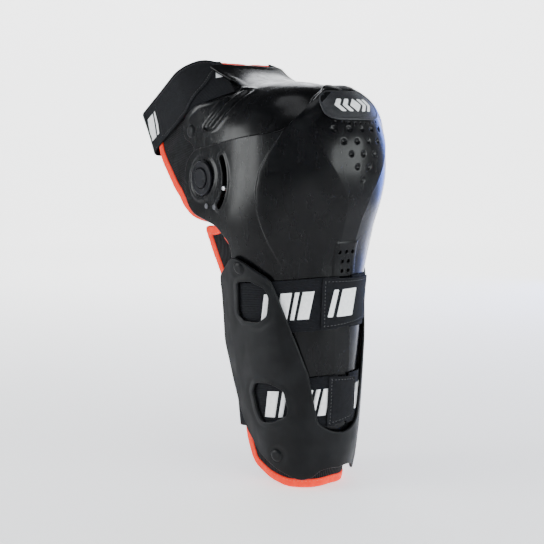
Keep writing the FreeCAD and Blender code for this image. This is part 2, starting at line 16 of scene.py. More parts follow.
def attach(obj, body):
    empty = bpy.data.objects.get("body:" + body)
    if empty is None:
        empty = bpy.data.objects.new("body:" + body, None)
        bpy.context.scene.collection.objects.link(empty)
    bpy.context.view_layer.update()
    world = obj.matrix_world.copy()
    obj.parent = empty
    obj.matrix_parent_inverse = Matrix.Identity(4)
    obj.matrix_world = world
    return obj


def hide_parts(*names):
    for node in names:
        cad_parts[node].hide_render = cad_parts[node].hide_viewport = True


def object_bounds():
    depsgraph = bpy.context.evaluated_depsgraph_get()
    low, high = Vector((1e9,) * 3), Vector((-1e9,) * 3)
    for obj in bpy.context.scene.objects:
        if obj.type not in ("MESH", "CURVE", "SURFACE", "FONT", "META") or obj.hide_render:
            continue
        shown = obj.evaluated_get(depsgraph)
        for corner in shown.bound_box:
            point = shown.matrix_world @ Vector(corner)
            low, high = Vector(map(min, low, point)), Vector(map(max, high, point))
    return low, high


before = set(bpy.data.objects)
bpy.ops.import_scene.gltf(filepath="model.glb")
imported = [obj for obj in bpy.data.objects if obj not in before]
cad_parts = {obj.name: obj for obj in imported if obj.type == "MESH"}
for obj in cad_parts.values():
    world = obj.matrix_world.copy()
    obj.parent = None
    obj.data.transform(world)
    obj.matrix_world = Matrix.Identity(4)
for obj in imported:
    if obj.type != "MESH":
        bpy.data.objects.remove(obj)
cad_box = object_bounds()

MM = 0.001
SHIN, THIGH = "shin_part", "thigh_part"

# ---- sizes shared with the frame, in millimetres ------------------------------------------
REST_FLEXION = 36.0                      # lean of the thigh's frame at rest, degrees
SHELL, THIGH_SHELL = 3.0, 2.8            # thickness of the shells
SHIN_LIFT = 2.5                          # outer shin shell above the form, for the straps
LINER_GAP, LINER = 1.0, 9.0              # under the shells, and thickness
THIGH_LINER_GAP, THIGH_LINER = 2.2, 7.5
PLATE_RADIUS = 16.5                      # hinge plate
STOP_RADIUS, STOP_SLOT = 36.0, 3.2       # stop slot about the pivot, and half its width
STOP_FIRST, STOP_LAST = -45.5, 32.5      # its ends, degrees from straight forwards
RIVET_HEAD = 6.6
STRAP_WIDTH, STRAP = 50.0, 1.4
STRAP_GAP, THIGH_STRAP_GAP = 0.8, 3.0    # calf straps above the form, thigh strap under it
TAB_PLAY = 0.3
PAD_WIDTH, PAD_THICKNESS = 64.0, 10.0    # half width of the knee pad
FORM_LIMIT = 300.0                       # farther out than any part of a form
WING_DEPTH = 400.0                       # reach of the forms backwards, so the sides run on

# Shin form: station, height, front depth, half width, depth of the centre, fullness.
SHIN_FORM = [
    (-308, -308, 97, 41.0, 50, 2.10), (-240, -240, 108, 48.0, 48, 2.00),
    (-165, -165, 112, 56.0, 44, 2.00), (-95, -95, 114, 67.0, 38, 1.90),
    (-70, -70, 116, 74.0, 34, 1.95), (-45, -45, 124, 80.0, 30, 2.00),
    (-20, -20, 134, 82.0, 28, 2.10), (10, 10, 139, 82.0, 28, 2.20),
    (47, 46, 136, 79.5, 28, 2.05), (76, 71, 124, 73.0, 28, 1.95),
    (95, 83, 109, 66.0, 28, 1.90), (112, 89, 93, 60.0, 28, 1.90),
]
# Thigh form: height along the thigh, front, half width, fullness.
THIGH_FORM = [
    (-90, 122, 78, 2.3), (0, 122, 78, 2.3), (19, 118, 78, 2.3), (42, 99, 77, 2.3),
    (62, 76, 76, 2.3), (80, 60, 74, 2.3), (105, 46, 71, 2.3), (135, 39, 69, 2.3),
]

# Knee pad: elevation about the hinge axis, in degrees, and how far it reaches.
PAD_FORM = [(-58, 107), (-10, 107), (5, 105), (18, 98), (31, 88), (44, 78)]

# Outlines seen from the side: depth, height, corner radius.  Thigh ones lie in its own frame.
KNEE_OUTLINE = [
    (88, 104, 0), (94, 89.5, 3), (105, 82.5, 8), (109.5, 66, 14), (98, 45.5, 14),
    (55, 39.5, 60), (17, 33, 60), (-33, 25, 28), (-33, -33, 26), (16, -46, 20),
    (34, -62, 14), (30, -86, 12), (58, -112, 20), (66, -190, 80), (62, -275, 8),
    (150, -275, 0), (150, 104, 0),
]
SHIN_OUTLINE = [
    (12, -95, 12), (40, -73, 14), (57, -80, 14), (78, -93, 10), (89, -131, 60),
    (97, -158, 60), (103, -184, 60), (106.5, -232, 8), (113.5, -243, 3), (150, -243, 0),
    (150, -279, 0), (104, -279, 8), (98, -288, 10), (90, -291, 12), (67, -281, 30),
    (46, -269, 30), (29, -249, 10), (19, -225, 20), (12, -199, 40), (4.5, -162, 50),
    (8, -125, 40),
]
UPPER_WINDOW = [
    (40, -99, 4), (57, -96.5, 5), (72, -102.5, 6), (74.5, -111, 6), (71, -129, 8),
    (62, -135.5, 8), (42, -136, 8), (33.5, -131, 6),
]
LOWER_WINDOW = [
    (44.5, -207, 4), (50, -197.5, 5), (68, -195.5, 12), (82, -200.5, 7), (85, -219, 7),
    (83, -226, 6), (69, -233.5, 8), (55, -236, 7), (48.5, -224, 8),
]
SHIN_LINER_OUTLINE = [
    (-10, -38, 14), (20, -38, 0), (36, -60, 14), (66, -98, 10), (150, -98, 0), (150, -286, 0),
    (99, -288, 4), (95, -301, 6), (70, -302, 40), (44, -297, 20), (22, -287, 16),
    (14, -262, 20), (13, -215, 30), (7, -160, 60), (4, -112, 40), (-3, -81, 30),
]
THIGH_OUTLINE = [
    (34, 112.5, 5), (41, 98, 60), (47.5, 87, 60), (63, 64, 30), (66.5, 57, 3), (59, 54.5, 5),
    (40, 63, 60), (21, 72.5, 20), (-3, 71, 14), (-10, 55, 8), (-2, 40, 14), (-4, 20, 0),
    (0, -27, 0), (12, -28.5, 8), (70, -104, 0), (150, -60, 0), (150, 104.5, 0),
    (46, 104.5, 6), (40, 110.5, 6),
]
THIGH_LINER_OUTLINE = [
    (-36, -18, 6), (-45.5, 0, 30), (-53, 28, 60), (-57, 66, 60), (-59, 96, 30), (-54, 123, 22),
    (-20, 130, 60), (20, 125, 60), (36, 117, 20), (46, 103, 10), (150, 103, 0),
    (150, -54.6, 0), (36, -13.1, 4), (20, -28, 0), (-20, -34, 0),
]
EAR_RADIUS = 27.0          # ears of the thigh shell, about the pivot
LOBE_RADIUS = 42.0         # thigh liner about the pivot
HOLLOW_RADIUS = 47.0       # room for it in the shin liner


# ---- curves and forms ---------------------------------------------------------------------
TINY = 1e-9


def unit(vectors):
    return vectors / np.maximum(np.linalg.norm(vectors, axis=-1, keepdims=True), TINY)


def matched(*values):
    """The values as arrays of one shape."""
    return np.broadcast_arrays(*(np.asarray(value, float) for value in values))


def run_along(points):
    """Distance from the first point to each point of a line."""
    steps = np.linalg.norm(np.diff(points, axis=0), axis=1)
    return np.concatenate(([0], np.cumsum(steps)))


def halved(low, high, beyond, rounds):
    """Bisection for the value where beyond(value) stops being true.  Gives the last value
    found true and the last one tried."""
    for _ in range(rounds):
        middle = (low + high) / 2
        more = beyond(middle)
        low, high = np.where(more, middle, low), np.where(more, high, middle)
    return low, middle


def smoothstep(x):
    t = np.clip(x, 0.0, 1.0)
    return t * t * (3 - 2 * t)


def ramp(x, start, end):
    """0 up to the start and 1 from the end on, smooth between; start may be the larger."""
    return smoothstep((x - start) / (end - start))


def hill(distance, radius):
    """1 at the middle, falling smoothly to 0 at radius."""
    return np.clip(1 - (distance / radius) ** 2, 0, 1) ** 2


def spline(table, x, column):
    """Smooth curve through one column of a station table."""
    at = np.array([row[0] for row in table], float)
    value = np.array([row[column] for row in table], float)
    gap = np.diff(at)
    rise = np.diff(value) / gap
    inner = (rise[:-1] * gap[1:] + rise[1:] * gap[:-1]) / (gap[:-1] + gap[1:])
    slope = np.concatenate((rise[:1], inner, rise[-1:]))
    i = np.clip(np.searchsorted(at, x) - 1, 0, len(gap) - 1)
    t = (x - at[i]) / gap[i]
    return ((2 * t**3 - 3 * t**2 + 1) * value[i] + (t**3 - 2 * t**2 + t) * gap[i] * slope[i]
            + (3 * t**2 - 2 * t**3) * value[i + 1] + (t**3 - t**2) * gap[i] * slope[i + 1])


def oval(angle, width, reach, fullness):
    side = np.abs(np.sin(angle)) / width
    ahead = np.cos(angle)
    ahead = np.where(ahead > 0, ahead / reach, -ahead / WING_DEPTH)
    return (side**fullness + ahead**fullness) ** (-1.0 / fullness)


def shin_form(angle, v, offset=0.0):
    height, front, width, centre, fullness = (spline(SHIN_FORM, v, k) for k in range(1, 6))
    r = oval(angle, width + offset, front - centre + offset, fullness)
    return np.stack((r * np.sin(angle), -(centre + r * np.cos(angle)), height + 0 * r), -1)


def thigh_form(angle, u, offset=0.0):
    """Thigh form in the thigh's frame; under the pivots it turns about the hinge axis."""
    front, width, fullness = (spline(THIGH_FORM, u, k) for k in range(1, 4))
    front = front + offset
    width = width + offset
    r = oval(angle, width, front, fullness)

    def inside(reach):
        ahead = reach * np.cos(angle)
        turned = np.where(ahead > 0, np.hypot(ahead, u) / front, -ahead / WING_DEPTH)
        side = reach * np.abs(np.sin(angle)) / width
        return side**fullness + turned**fullness < 1

    below = u < 0
    if np.any(below):
        reach, _ = halved(np.zeros_like(r), np.full_like(r, FORM_LIMIT), inside, 30)
        r = np.where(below, reach, r)
    return np.stack((r * np.sin(angle), -r * np.cos(angle), u + 0 * r), -1)


class Chart:
    """A form unrolled: s runs round it from the middle of the front, v is its station."""

    SWEEP = 2.6            # how far round it goes, radians
    REACH = 230            # and along s, millimetres
    STEP = 0.5             # for slopes

    def __init__(self, form, low, high, lean=0.0):
        self.form, self.low, self.high = form, low, high
        turn = np.linspace(0, self.SWEEP, 500)
        rows = np.arange(low, high + 1.0)
        points = form(turn[None, :], rows[:, None])
        reach = np.arange(0.0, self.REACH)
        self.turn = np.array([np.interp(reach, run_along(row), turn) for row in points])
        self.rows = rows
        self.heights = points[:, 0, 2]
        c, s = math.cos(math.radians(lean)), math.sin(math.radians(lean))
        self.leaning = np.array(((1, 0, 0), (0, c, -s), (0, s, c)))

    def angle(self, s, v):
        """How far round the form a place is, between the four nearest known ones."""
        a = np.clip(np.abs(s), 0, self.REACH - 1.001)
        b = np.clip(v - self.low, 0, len(self.rows) - 1.001)
        i, j = a.astype(int), b.astype(int)
        p, q = a - i, b - j
        t = self.turn
        return np.sign(s) * ((t[j, i] * (1 - p) + t[j, i + 1] * p) * (1 - q)
                             + (t[j + 1, i] * (1 - p) + t[j + 1, i + 1] * p) * q)

    def base(self, s, v):
        return self.form(self.angle(s, v), v)

    def slopes(self, s, v):
        """Steps along s and v, and the outward normal."""
        h = self.STEP
        along = (self.base(s + h, v) - self.base(s - h, v)) / (2 * h)
        up = (self.base(s, v + h) - self.base(s, v - h)) / (2 * h)
        return along, up, unit(np.cross(along, up))

    def place(self, s, v, lift):
        """Points a lift above the form; lift is a number, an array or a function."""
        s, v = matched(s, v)
        lift = lift(s, v) if callable(lift) else np.asarray(lift, float)
        return self.base(s, v) + self.slopes(s, v)[2] * np.broadcast_to(lift, s.shape)[..., None]

    def normal(self, s, v, lift):
        h = self.STEP
        along = self.place(s + h, v, lift) - self.place(s - h, v, lift)
        up = self.place(s, v + h, lift) - self.place(s, v - h, lift)
        return unit(np.cross(along, up))

    def station(self, height):
        return np.interp(height, self.heights, self.rows)

    def find(self, depth, height, lift=0.0):
        """(s, v) on the +X side of places given by depth and height."""
        v = self.station(height)
        for _ in range(4):
            _, s = halved(np.zeros_like(v), np.full_like(v, self.REACH - 2.0),
                          lambda s: -self.place(s, v, lift)[..., 1] > depth, 26)
            v = self.raised(v, height - self.place(s, v, lift)[..., 2])
        return np.stack((s, v), -1)

    def raised(self, v, error):
        return np.clip(v + error, self.low + 1, self.high - 1)

    def find_front(self, x, height, lift=0.0):
        """(s, v) of places given by x and height, on the front."""
        v = self.station(height)
        s = np.array(x, float)
        for _ in range(8):
            spot = self.place(s, v, lift)
            s = s + (x - spot[..., 0])
            v = self.raised(v, height - spot[..., 2])
        return np.stack((s, v), -1)

    def out(self, points):
        """Points in the guard's frame, from points in the form's own."""
        return points @ self.leaning.T


shin_chart = Chart(shin_form, -312, 116)
thigh_chart = Chart(thigh_form, -94, 138, lean=-REST_FLEXION)


# ---- outlines -----------------------------------------------------------------------------
OUTLINE_STEP = 0.8


def polar(radius, angle):
    return radius * np.stack((np.cos(angle), np.sin(angle)), -1)


def rounded(points, step=OUTLINE_STEP):
    """Closed polyline through (a, b, corner radius) points."""
    path = []
    count = len(points)
    for i, (a, b, radius) in enumerate(points):
        here = np.array((a, b), float)
        back = np.array(points[i - 1][:2]) - here
        on = np.array(points[(i + 1) % count][:2]) - here
        back_length, on_length = np.linalg.norm(back), np.linalg.norm(on)
        back, on = back / back_length, on / on_length
        half = math.acos(np.clip(back @ on, -1, 1)) / 2
        if radius <= 0 or math.pi - 2 * half < 0.02:
            path.append(here)
            continue
        reach = min(radius / math.tan(half), 0.49 * back_length, 0.49 * on_length)
        r = reach * math.tan(half)
        middle = here + (back + on) / np.linalg.norm(back + on) * (r / math.sin(half))
        turn = math.pi - 2 * half
        start = here + back * reach - middle
        way = np.sign(back[0] * on[1] - back[1] * on[0]) * -1
        for t in np.linspace(0, turn, max(3, int(r * turn / step) + 1)):
            c, s = math.cos(way * t), math.sin(way * t)
            path.append(middle + np.array((c * start[0] - s * start[1],
                                           s * start[0] + c * start[1])))
    return resampled(np.array(path), step)


def resampled(loop, step):
    """The closed polyline with even spacing."""
    closed = np.vstack((loop, loop[:1]))
    run = run_along(closed)
    count = max(8, int(round(run[-1] / step)))
    at = np.linspace(0, run[-1], count, endpoint=False)
    return np.stack([np.interp(at, run, closed[:, k]) for k in range(2)], -1)


def softened(loop, times=1):
    """The closed loop with its corners worn round."""
    for _ in range(times):
        loop = (np.roll(loop, 1, 0) + 2 * loop + np.roll(loop, -1, 0)) / 4
    return loop


def anticlockwise(loop):
    x, y = loop.T
    return loop if np.sum(x * np.roll(y, -1) - np.roll(x, -1) * y) > 0 else loop[::-1]


def with_arc(path, radius, through):
    """The path with its stretch inside a circle about the pivot swapped for the arc that
    passes the direction `through` (degrees)."""
    inside = np.hypot(*path.T) < radius
    first = next(i for i in range(len(path)) if inside[i] and not inside[i - 1])
    path = np.roll(path, -first, 0)
    inside = np.roll(inside, -first)
    count = int(np.argmin(inside))
    start = math.atan2(path[0][1], path[0][0])
    end = math.atan2(path[count - 1][1], path[count - 1][0])
    middle = math.radians(through)
    up = (middle - start) % (2 * math.pi) < (end - start) % (2 * math.pi)
    turn = (end - start) % (2 * math.pi) - (0 if up else 2 * math.pi)
    angles = start + np.linspace(0, turn, max(4, int(abs(turn) * radius / OUTLINE_STEP)))
    return resampled(np.vstack((polar(radius, angles), path[count:])), OUTLINE_STEP)


def side_loops(chart, path, lift=0.0, step=1.2):
    """Chart loops of a side-view outline: one loop over the front, or one on each side."""
    front = -chart.place(np.zeros(len(path)), chart.station(path[:, 1]), lift)[:, 1]
    gap = path[:, 0] - front
    ahead = (gap >= 0) | (path[:, 1] > chart.heights[-1])
    if not ahead.any():
        loop = chart.find(*path.T, lift)
        return [resampled(anticlockwise(loop * side), step) for side in ((1, 1), (-1, 1))]
    first = next(i for i in range(len(path)) if ahead[i - 1] and not ahead[i])
    path, gap, ahead = (np.roll(values, -first, 0) for values in (path, gap, ahead))
    count = int(np.argmax(ahead))
    half = chart.find(path[:count, 0], path[:count, 1], lift)
    ends = []
    for i, j in ((0, -1), (count - 1, count)):
        t = gap[i] / (gap[i] - gap[j]) if gap[j] > 0 else 0.5
        height = path[i, 1] + t * (path[j, 1] - path[i, 1])
        ends.append((0.0, float(chart.station(height))))
    half = np.vstack((ends[:1], half, ends[1:]))
    loop = np.vstack((half, half[-2:0:-1] * (-1, 1)))
    return [resampled(anticlockwise(loop), step)]


def front_loop(chart, points, lift=0.0):
    """Chart loop of a front-view outline of (x, height, corner radius) points."""
    path = rounded(points, 0.6)
    loop = chart.find_front(*path.T, lift)
    return resampled(anticlockwise(loop), OUTLINE_STEP)


def mirrored(places):
    return [places, places * (-1, 1)]


def circle(middle, radius, step=0.6):
    count = max(12, int(2 * math.pi * radius / step))
    return middle + polar(radius, np.linspace(0, 2 * math.pi, count, endpoint=False))


class Near:
    """Distance from places in a chart to a set of loops."""

    def __init__(self, *loops):
        points = np.vstack(loops)
        self.tree = kdtree.KDTree(len(points))
        for i, (s, v) in enumerate(points):
            self.tree.insert((s, v, 0), i)
        self.tree.balance()

    def __call__(self, s, v):
        s, v = matched(s, v)
        flat = [self.tree.find((a, b, 0))[2] for a, b in zip(s.ravel(), v.ravel())]
        return np.array(flat).reshape(s.shape)


# ---- meshes -------------------------------------------------------------------------------
def linked(name, data):
    thing = bpy.data.objects.new(name, data)
    bpy.context.scene.collection.objects.link(thing)
    return thing


def shown(name, points, faces, body, normals=None, chart_points=None):
    """Mesh object from millimetre points, riding on a body."""
    mesh = bpy.data.meshes.new(name)
    mesh.from_pydata((np.asarray(points) * MM).tolist(), [], faces)
    mesh.update()
    mesh.shade_smooth()
    if chart_points is not None:
        layer = mesh.attributes.new("chart", "FLOAT_VECTOR", "POINT")
        layer.data.foreach_set("vector", np.asarray(chart_points, np.float32).ravel())
    if normals is not None:
        mesh.normals_split_custom_set_from_vertices(np.asarray(normals).tolist())
    piece = linked(name, mesh)
    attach(piece, body)
    return piece


def vectors_of(items, key):
    """One vector of each item, in rows."""
    flat = np.empty(len(items) * 3, np.float32)
    items.foreach_get(key, flat)
    return flat.reshape(-1, 3)


def bridge(first, second, count):
    """Quads between two closed rings of points, from the place where each ring starts."""
    k = np.arange(count)
    on = (k + 1) % count
    return np.stack((first + k, first + on, second + on, second + k), -1)


def tube_faces(rings, count):
    """Quads between each of a row of rings and the next."""
    return [face for j in range(rings - 1)
            for face in bridge(j * count, (j + 1) * count, count).tolist()]


def inward(chart, loop):
    """For each point of a loop, the chart step and the direction in space that lead one
    millimetre square away from it, to its left."""
    along, up, _ = chart.slopes(*loop.T)
    tangent = np.roll(loop, -1, 0) - np.roll(loop, 1, 0)
    left = np.stack((-tangent[:, 1], tangent[:, 0]), -1)
    a, b, c = (np.sum(p * q, -1) for p, q in ((along, along), (along, up), (up, up)))
    det = a * c - b * b
    step = np.stack((c * left[:, 0] - b * left[:, 1], a * left[:, 1] - b * left[:, 0]), -1)
    step /= det[:, None]
    step /= np.sqrt(np.sum(step * left, -1))[:, None]
    return step, unit(step[:, :1] * along + step[:, 1:] * up)


def inset(chart, loop, distance, stride=1.5):
    """The loop moved inwards by a distance on the surface, kept smooth."""
    steps = max(1, math.ceil(distance / stride))
    for _ in range(steps):
        loop = softened(loop + inward(chart, loop)[0] * distance / steps)
    return loop


def crossings(rings, places):
    """Whether each place lies inside the rings, by the even-odd rule."""
    odd = np.zeros(len(places), bool)
    for ring in rings:
        on = np.roll(ring, -1, 0)
        for (s0, v0), (s1, v1) in zip(ring, on):
            if v0 != v1:
                hit = (places[:, 1] > v0) != (places[:, 1] > v1)
                odd ^= hit & (places[:, 0] < s0 + (places[:, 1] - v0) / (v1 - v0) * (s1 - s0))
    return odd


RING_CLEARANCE = 0.6       # least room between a ring and the grid, in grid spaces
SAME_PLACE = 1e-6


def fill(rings, spacing):
    """Even quads inside the rings and a strip of triangles up to them.

    Returns the extra places, and faces that count the ring places first."""
    edge = np.vstack(rings)
    low, high = edge.min(0), edge.max(0)
    columns = np.arange(math.floor(low[0] / spacing), math.ceil(high[0] / spacing) + 1)
    rows = np.arange(math.floor(low[1] / spacing), math.ceil(high[1] / spacing) + 1)
    s, v = np.meshgrid(columns * spacing, rows * spacing, indexing="ij")
    good = crossings(rings, np.stack((s.ravel(), v.ravel()), -1)).reshape(s.shape)
    nearest = np.round(edge / spacing).astype(int) - (columns[0], rows[0])
    for shift in ((i, j) for i in (-1, 0, 1) for j in (-1, 0, 1)):
        i, j = np.clip(nearest + shift, 0, np.array(s.shape) - 1).T
        off = np.hypot(s[i, j] - edge[:, 0], v[i, j] - edge[:, 1])
        close = off < RING_CLEARANCE * spacing
        good[i[close], j[close]] = False
    cell = good[:-1, :-1] & good[1:, :-1] & good[:-1, 1:] & good[1:, 1:]
    index = np.full(good.shape, -1)
    index[good] = np.arange(good.sum()) + len(edge)
    i, j = np.nonzero(cell)
    quads = np.stack((index[i, j], index[i + 1, j], index[i + 1, j + 1], index[i, j + 1]), -1)
    framed = np.pad(cell, 1)
    around = (framed[:-1, :-1].astype(int) + framed[1:, :-1] + framed[:-1, 1:] + framed[1:, 1:])
    strip = good & (around < 4)
    strip_index = index[strip]
    local = np.full(index.max() + 1, -1)
    local[:len(edge)] = np.arange(len(edge))
    local[strip_index] = np.arange(len(strip_index)) + len(edge)
    # the triangles keep to the outline of the quads and to the rings
    limits = []
    for axis in (0, 1):
        side = np.diff(framed.astype(int), axis=axis) != 0
        a, b = np.nonzero(side[:, 1:-1] if axis == 0 else side[1:-1, :])
        c, d = (a, b + 1) if axis == 0 else (a + 1, b)
        limits += zip(local[index[a, b]], local[index[c, d]])
    start = 0
    for ring in rings:
        k = np.arange(len(ring))
        limits += zip(start + k, start + np.roll(k, -1))
        start += len(ring)
    places = np.vstack((edge, np.stack((s[strip], v[strip]), -1)))
    whole = np.concatenate((np.arange(len(edge)), strip_index))
    result = delaunay_2d_cdt([Vector(p) for p in places],
                             [(int(a), int(b)) for a, b in limits], [], 0, SAME_PLACE)
    names = [ids[0] if ids else -1 for ids in result[3]]
    triangles = np.array([[names[k] for k in face] for face in result[2]])
    triangles = triangles[(triangles >= 0).all(1)]
    middle = places[triangles].mean(1)
    keep = crossings(rings, middle)
    at = np.floor(middle / spacing).astype(int) - (columns[0], rows[0])
    i, j = np.clip(at, 0, np.array(cell.shape) - 1).T
    keep &= ~cell[i, j]
    faces = quads.tolist() + whole[triangles[keep]].tolist()
    return np.stack((s[good], v[good]), -1), faces


def plate(name, chart, loops, outer, inner, body, edge=None, spacing=1.2, back_spacing=2.4):
    """A sheet of material between two lifts over a chart, with rounded edges.

    loops: the outer loop first, then holes.  outer and inner are lifts or functions of
    (s, v).  edge is the radius of the edges, or one for each loop; None is full round."""
    def lift_of(lift, places):
        s, v = places.T
        return lift(s, v) if callable(lift) else np.full(len(s), float(lift))

    loops = [anticlockwise(loop) if k == 0 else anticlockwise(loop)[::-1]
             for k, loop in enumerate(loops)]
    radii = edge if isinstance(edge, (list, tuple)) else [edge] * len(loops)
    points, normals, charted, faces = [], [], [], []
    total = 0

    def add(places, lift, normal):
        nonlocal total
        points.append(chart.place(*places.T, lift))
        normals.append(normal)
        charted.append(np.column_stack((places, lift)))
        total += len(places)
        return total - len(places)

    last = {1: [], -1: []}
    for loop, radius in zip(loops, radii):
        step, aside = inward(chart, loop)
        top, bottom = lift_of(outer, loop), lift_of(inner, loop)
        half = float(np.mean(top - bottom)) / 2
        radius = half if radius is None else min(radius, half)
        middle_ring = add(loop, (top + bottom) / 2, -aside)
        for side in (1, -1):
            previous = middle_ring
            # with a flat stretch between them, the two roundings start apart
            turns = (0, 30, 60, 90) if radius < half - 0.05 else (22.5, 45, 67.5, 90)
            for turn in np.radians(turns):
                places = loop + step * radius * (1 - math.cos(turn))
                above, below = lift_of(outer, places), lift_of(inner, places)
                drop = radius * (1 - math.sin(turn))
                lift = above - drop if side > 0 else below + drop
                face_normal = chart.slopes(*places.T)[2] * side
                normal = face_normal * math.sin(turn) - aside * math.cos(turn)
                ring = add(places, lift, normal)
                faces += bridge(previous, ring, len(loop))[:, ::side].tolist()
                previous = ring
            last[side].append((places, previous))
    for side, lift, gap in ((1, outer, spacing), (-1, inner, back_spacing)):
        rings = [places for places, _ in last[side]]
        extra, new_faces = fill(rings, gap)
        names = np.concatenate([start + np.arange(len(places)) for places, start in last[side]])
        normal = chart.normal(*extra.T, lift) * side
        start = add(extra, lift_of(lift, extra), normal)
        names = np.concatenate((names, start + np.arange(len(extra))))
        faces += [names[face][::side].tolist() for face in new_faces]
    return shown(name, chart.out(np.vstack(points)), faces, body,
                 chart.out(np.vstack(normals)), np.vstack(charted))


# ---- materials ----------------------------------------------------------------------------
WAVE_SCALE = math.pi / 10                  # wave texture scale for bands 1 apart
MIX_LOW, MIX_HIGH, MIX_RESULT = 6, 7, 2    # colour sockets of a mix node


class Look:
    """Node material built up in a few calls.  Texture coordinates are in millimetres."""

    def __init__(self, name, **principled):
        self.material = bpy.data.materials.new(name)
        self.material.use_nodes = True
        self.tree = self.material.node_tree
        self.shader = self.tree.nodes["Principled BSDF"]
        for key, value in principled.items():
            self.shader.inputs[key.replace("_", " ")].default_value = value
        self.relief = None
        place = self.node("TexCoord", {}, "Object")
        self.space = self.node("VectorMath", {0: place, "Scale": 1 / MM}, operation="SCALE")

    def node(self, kind, inputs, output=0, **settings):
        """Output of a new node, its inputs linked to sockets or set to values."""
        made = self.tree.nodes.new("ShaderNode" + kind)
        for key, value in settings.items():
            setattr(made, key, value)
        for key, value in inputs.items():
            if isinstance(value, bpy.types.NodeSocket):
                self.tree.links.new(value, made.inputs[key])
            else:
                made.inputs[key].default_value = value
        return made.outputs[output]

    def chart(self):
        """Coordinates that follow a fabric: round, along and through it."""
        return self.node("Attribute", {}, "Vector", attribute_name="chart")

    def stretched(self, vector, scale):
        return self.node("VectorMath", {0: vector, 1: scale}, operation="MULTIPLY")

    def noise(self, size, detail=2.0, vector=None):
        return self.node("TexNoise", {"Vector": vector or self.space, "Scale": 1.0 / size,
                                      "Detail": detail}, "Fac")

    def cells(self, size, vector=None):
        return self.node("TexVoronoi", {"Vector": vector or self.space, "Scale": 1.0 / size},
                         "Distance")

    def ribs(self, pitch, axis, vector, distort):
        return self.node("TexWave", {"Vector": vector, "Scale": WAVE_SCALE / pitch,
                                     "Distortion": distort},
                         "Fac", wave_type="BANDS", bands_direction=axis)

    def between(self, factor, low, high, from_low=0.3, from_high=0.7):
        """Value or colour that goes from low to high as the factor rises."""
        spread = {"Value": factor, "From Min": from_low, "From Max": from_high}
        colour = isinstance(low, tuple)
        if not colour:
            spread.update({"To Min": low, "To Max": high})
        share = self.node("MapRange", spread, "Result", interpolation_type="SMOOTHSTEP")
        if not colour:
            return share
        return self.node("Mix", {"Factor": share, MIX_LOW: (*low, 1), MIX_HIGH: (*high, 1)},
                         MIX_RESULT, data_type="RGBA")

    def figured(self, operation, a, b):
        return self.node("Math", {0: a, 1: b}, operation=operation)

    def colour(self, socket):
        self.tree.links.new(socket, self.shader.inputs["Base Color"])
        return self

    def rough(self, socket):
        self.tree.links.new(socket, self.shader.inputs["Roughness"])
        return self

    def bump(self, height, depth):
        """Adds relief of a depth in millimetres."""
        inputs = {"Height": height, "Distance": depth * MM}
        if self.relief:
            inputs["Normal"] = self.relief
        self.relief = self.node("Bump", inputs, "Normal")
        self.tree.links.new(self.relief, self.shader.inputs["Normal"])
        return self


def plastic(name, dark, light, rough, grain, grain_depth, **principled):
    """Moulded black plastic: faint cloudiness, uneven gloss, a fine grain and soft waves."""
    look = Look(name, Specular_IOR_Level=0.13, **principled)
    look.colour(look.between(look.noise(22, 4), dark, light))
    smears = look.noise(9, 5, look.stretched(look.space, (1.0, 1.0, 0.35)))
    look.rough(look.between(smears, *rough))
    look.bump(look.noise(34, 1), 0.10)
    return look.bump(look.noise(grain, 3), grain_depth).material


gloss = plastic("gloss_black", (0.0014, 0.0015, 0.0019), (0.0030, 0.0032, 0.0037),
                (0.20, 0.30), 0.9, 0.006, Coat_Weight=0.04, Coat_Roughness=0.10)
satin = plastic("satin_black", (0.0022, 0.0025, 0.003), (0.0055, 0.006, 0.0068), (0.34, 0.50),
                0.55, 0.025)
hard_black = plastic("hinge_black", (0.0035, 0.0036, 0.0052), (0.0065, 0.0066, 0.009),
                     (0.26, 0.38), 0.5, 0.010)


def steel(name, colour, rough):
    """Metal brushed lengthways."""
    look = Look(name, Metallic=1.0)
    brushed = look.noise(0.5, 4, look.stretched(look.space, (1.0, 6.0, 6.0)))
    look.colour(look.between(brushed, tuple(0.8 * c for c in colour), colour))
    return look.rough(look.between(brushed, *rough)).bump(brushed, 0.01).material


bright_steel = steel("bright_steel", (0.62, 0.62, 0.64), (0.18, 0.32))
dark_steel = steel("blackened_steel", (0.10, 0.10, 0.11), (0.30, 0.46))


def ribbed_fabric():
    """Liner cloth: upright ribs knitted from twisted yarn."""
    look = Look("liner_fabric", Roughness=0.9, Sheen_Weight=0.03, Sheen_Roughness=0.4,
                Specular_IOR_Level=0.15)
    cloth = look.chart()
    rib = look.ribs(2.3, "X", cloth, 0.3)
    yarn = look.ribs(0.7, "Y", cloth, 1.5)
    # the colour lightens on the rib crests and darkens between them: painted shade in the grooves,
    # with a random drift in tone
    look.colour(look.between(look.figured("MULTIPLY", rib, look.noise(6, 3)),
                             (0.001, 0.0011, 0.0015), (0.018, 0.0185, 0.021), 0.05, 0.6))
    return look.bump(rib, 0.7).bump(yarn, 0.12).material


def mesh_fabric(name, dark, light):
    """Soft spacer mesh over foam."""
    look = Look(name, Roughness=0.9, Sheen_Weight=0.3, Sheen_Roughness=0.5)
    holes = look.cells(1.5, look.chart())
    # darker where the cells sink: painted shade in the hollows of the mesh
    look.colour(look.between(holes, light, dark, 0.25, 0.6))
    return look.bump(look.between(holes, 1.0, 0.0, 0.3, 0.6), 0.35).bump(
        look.noise(3, 3), 0.2).material


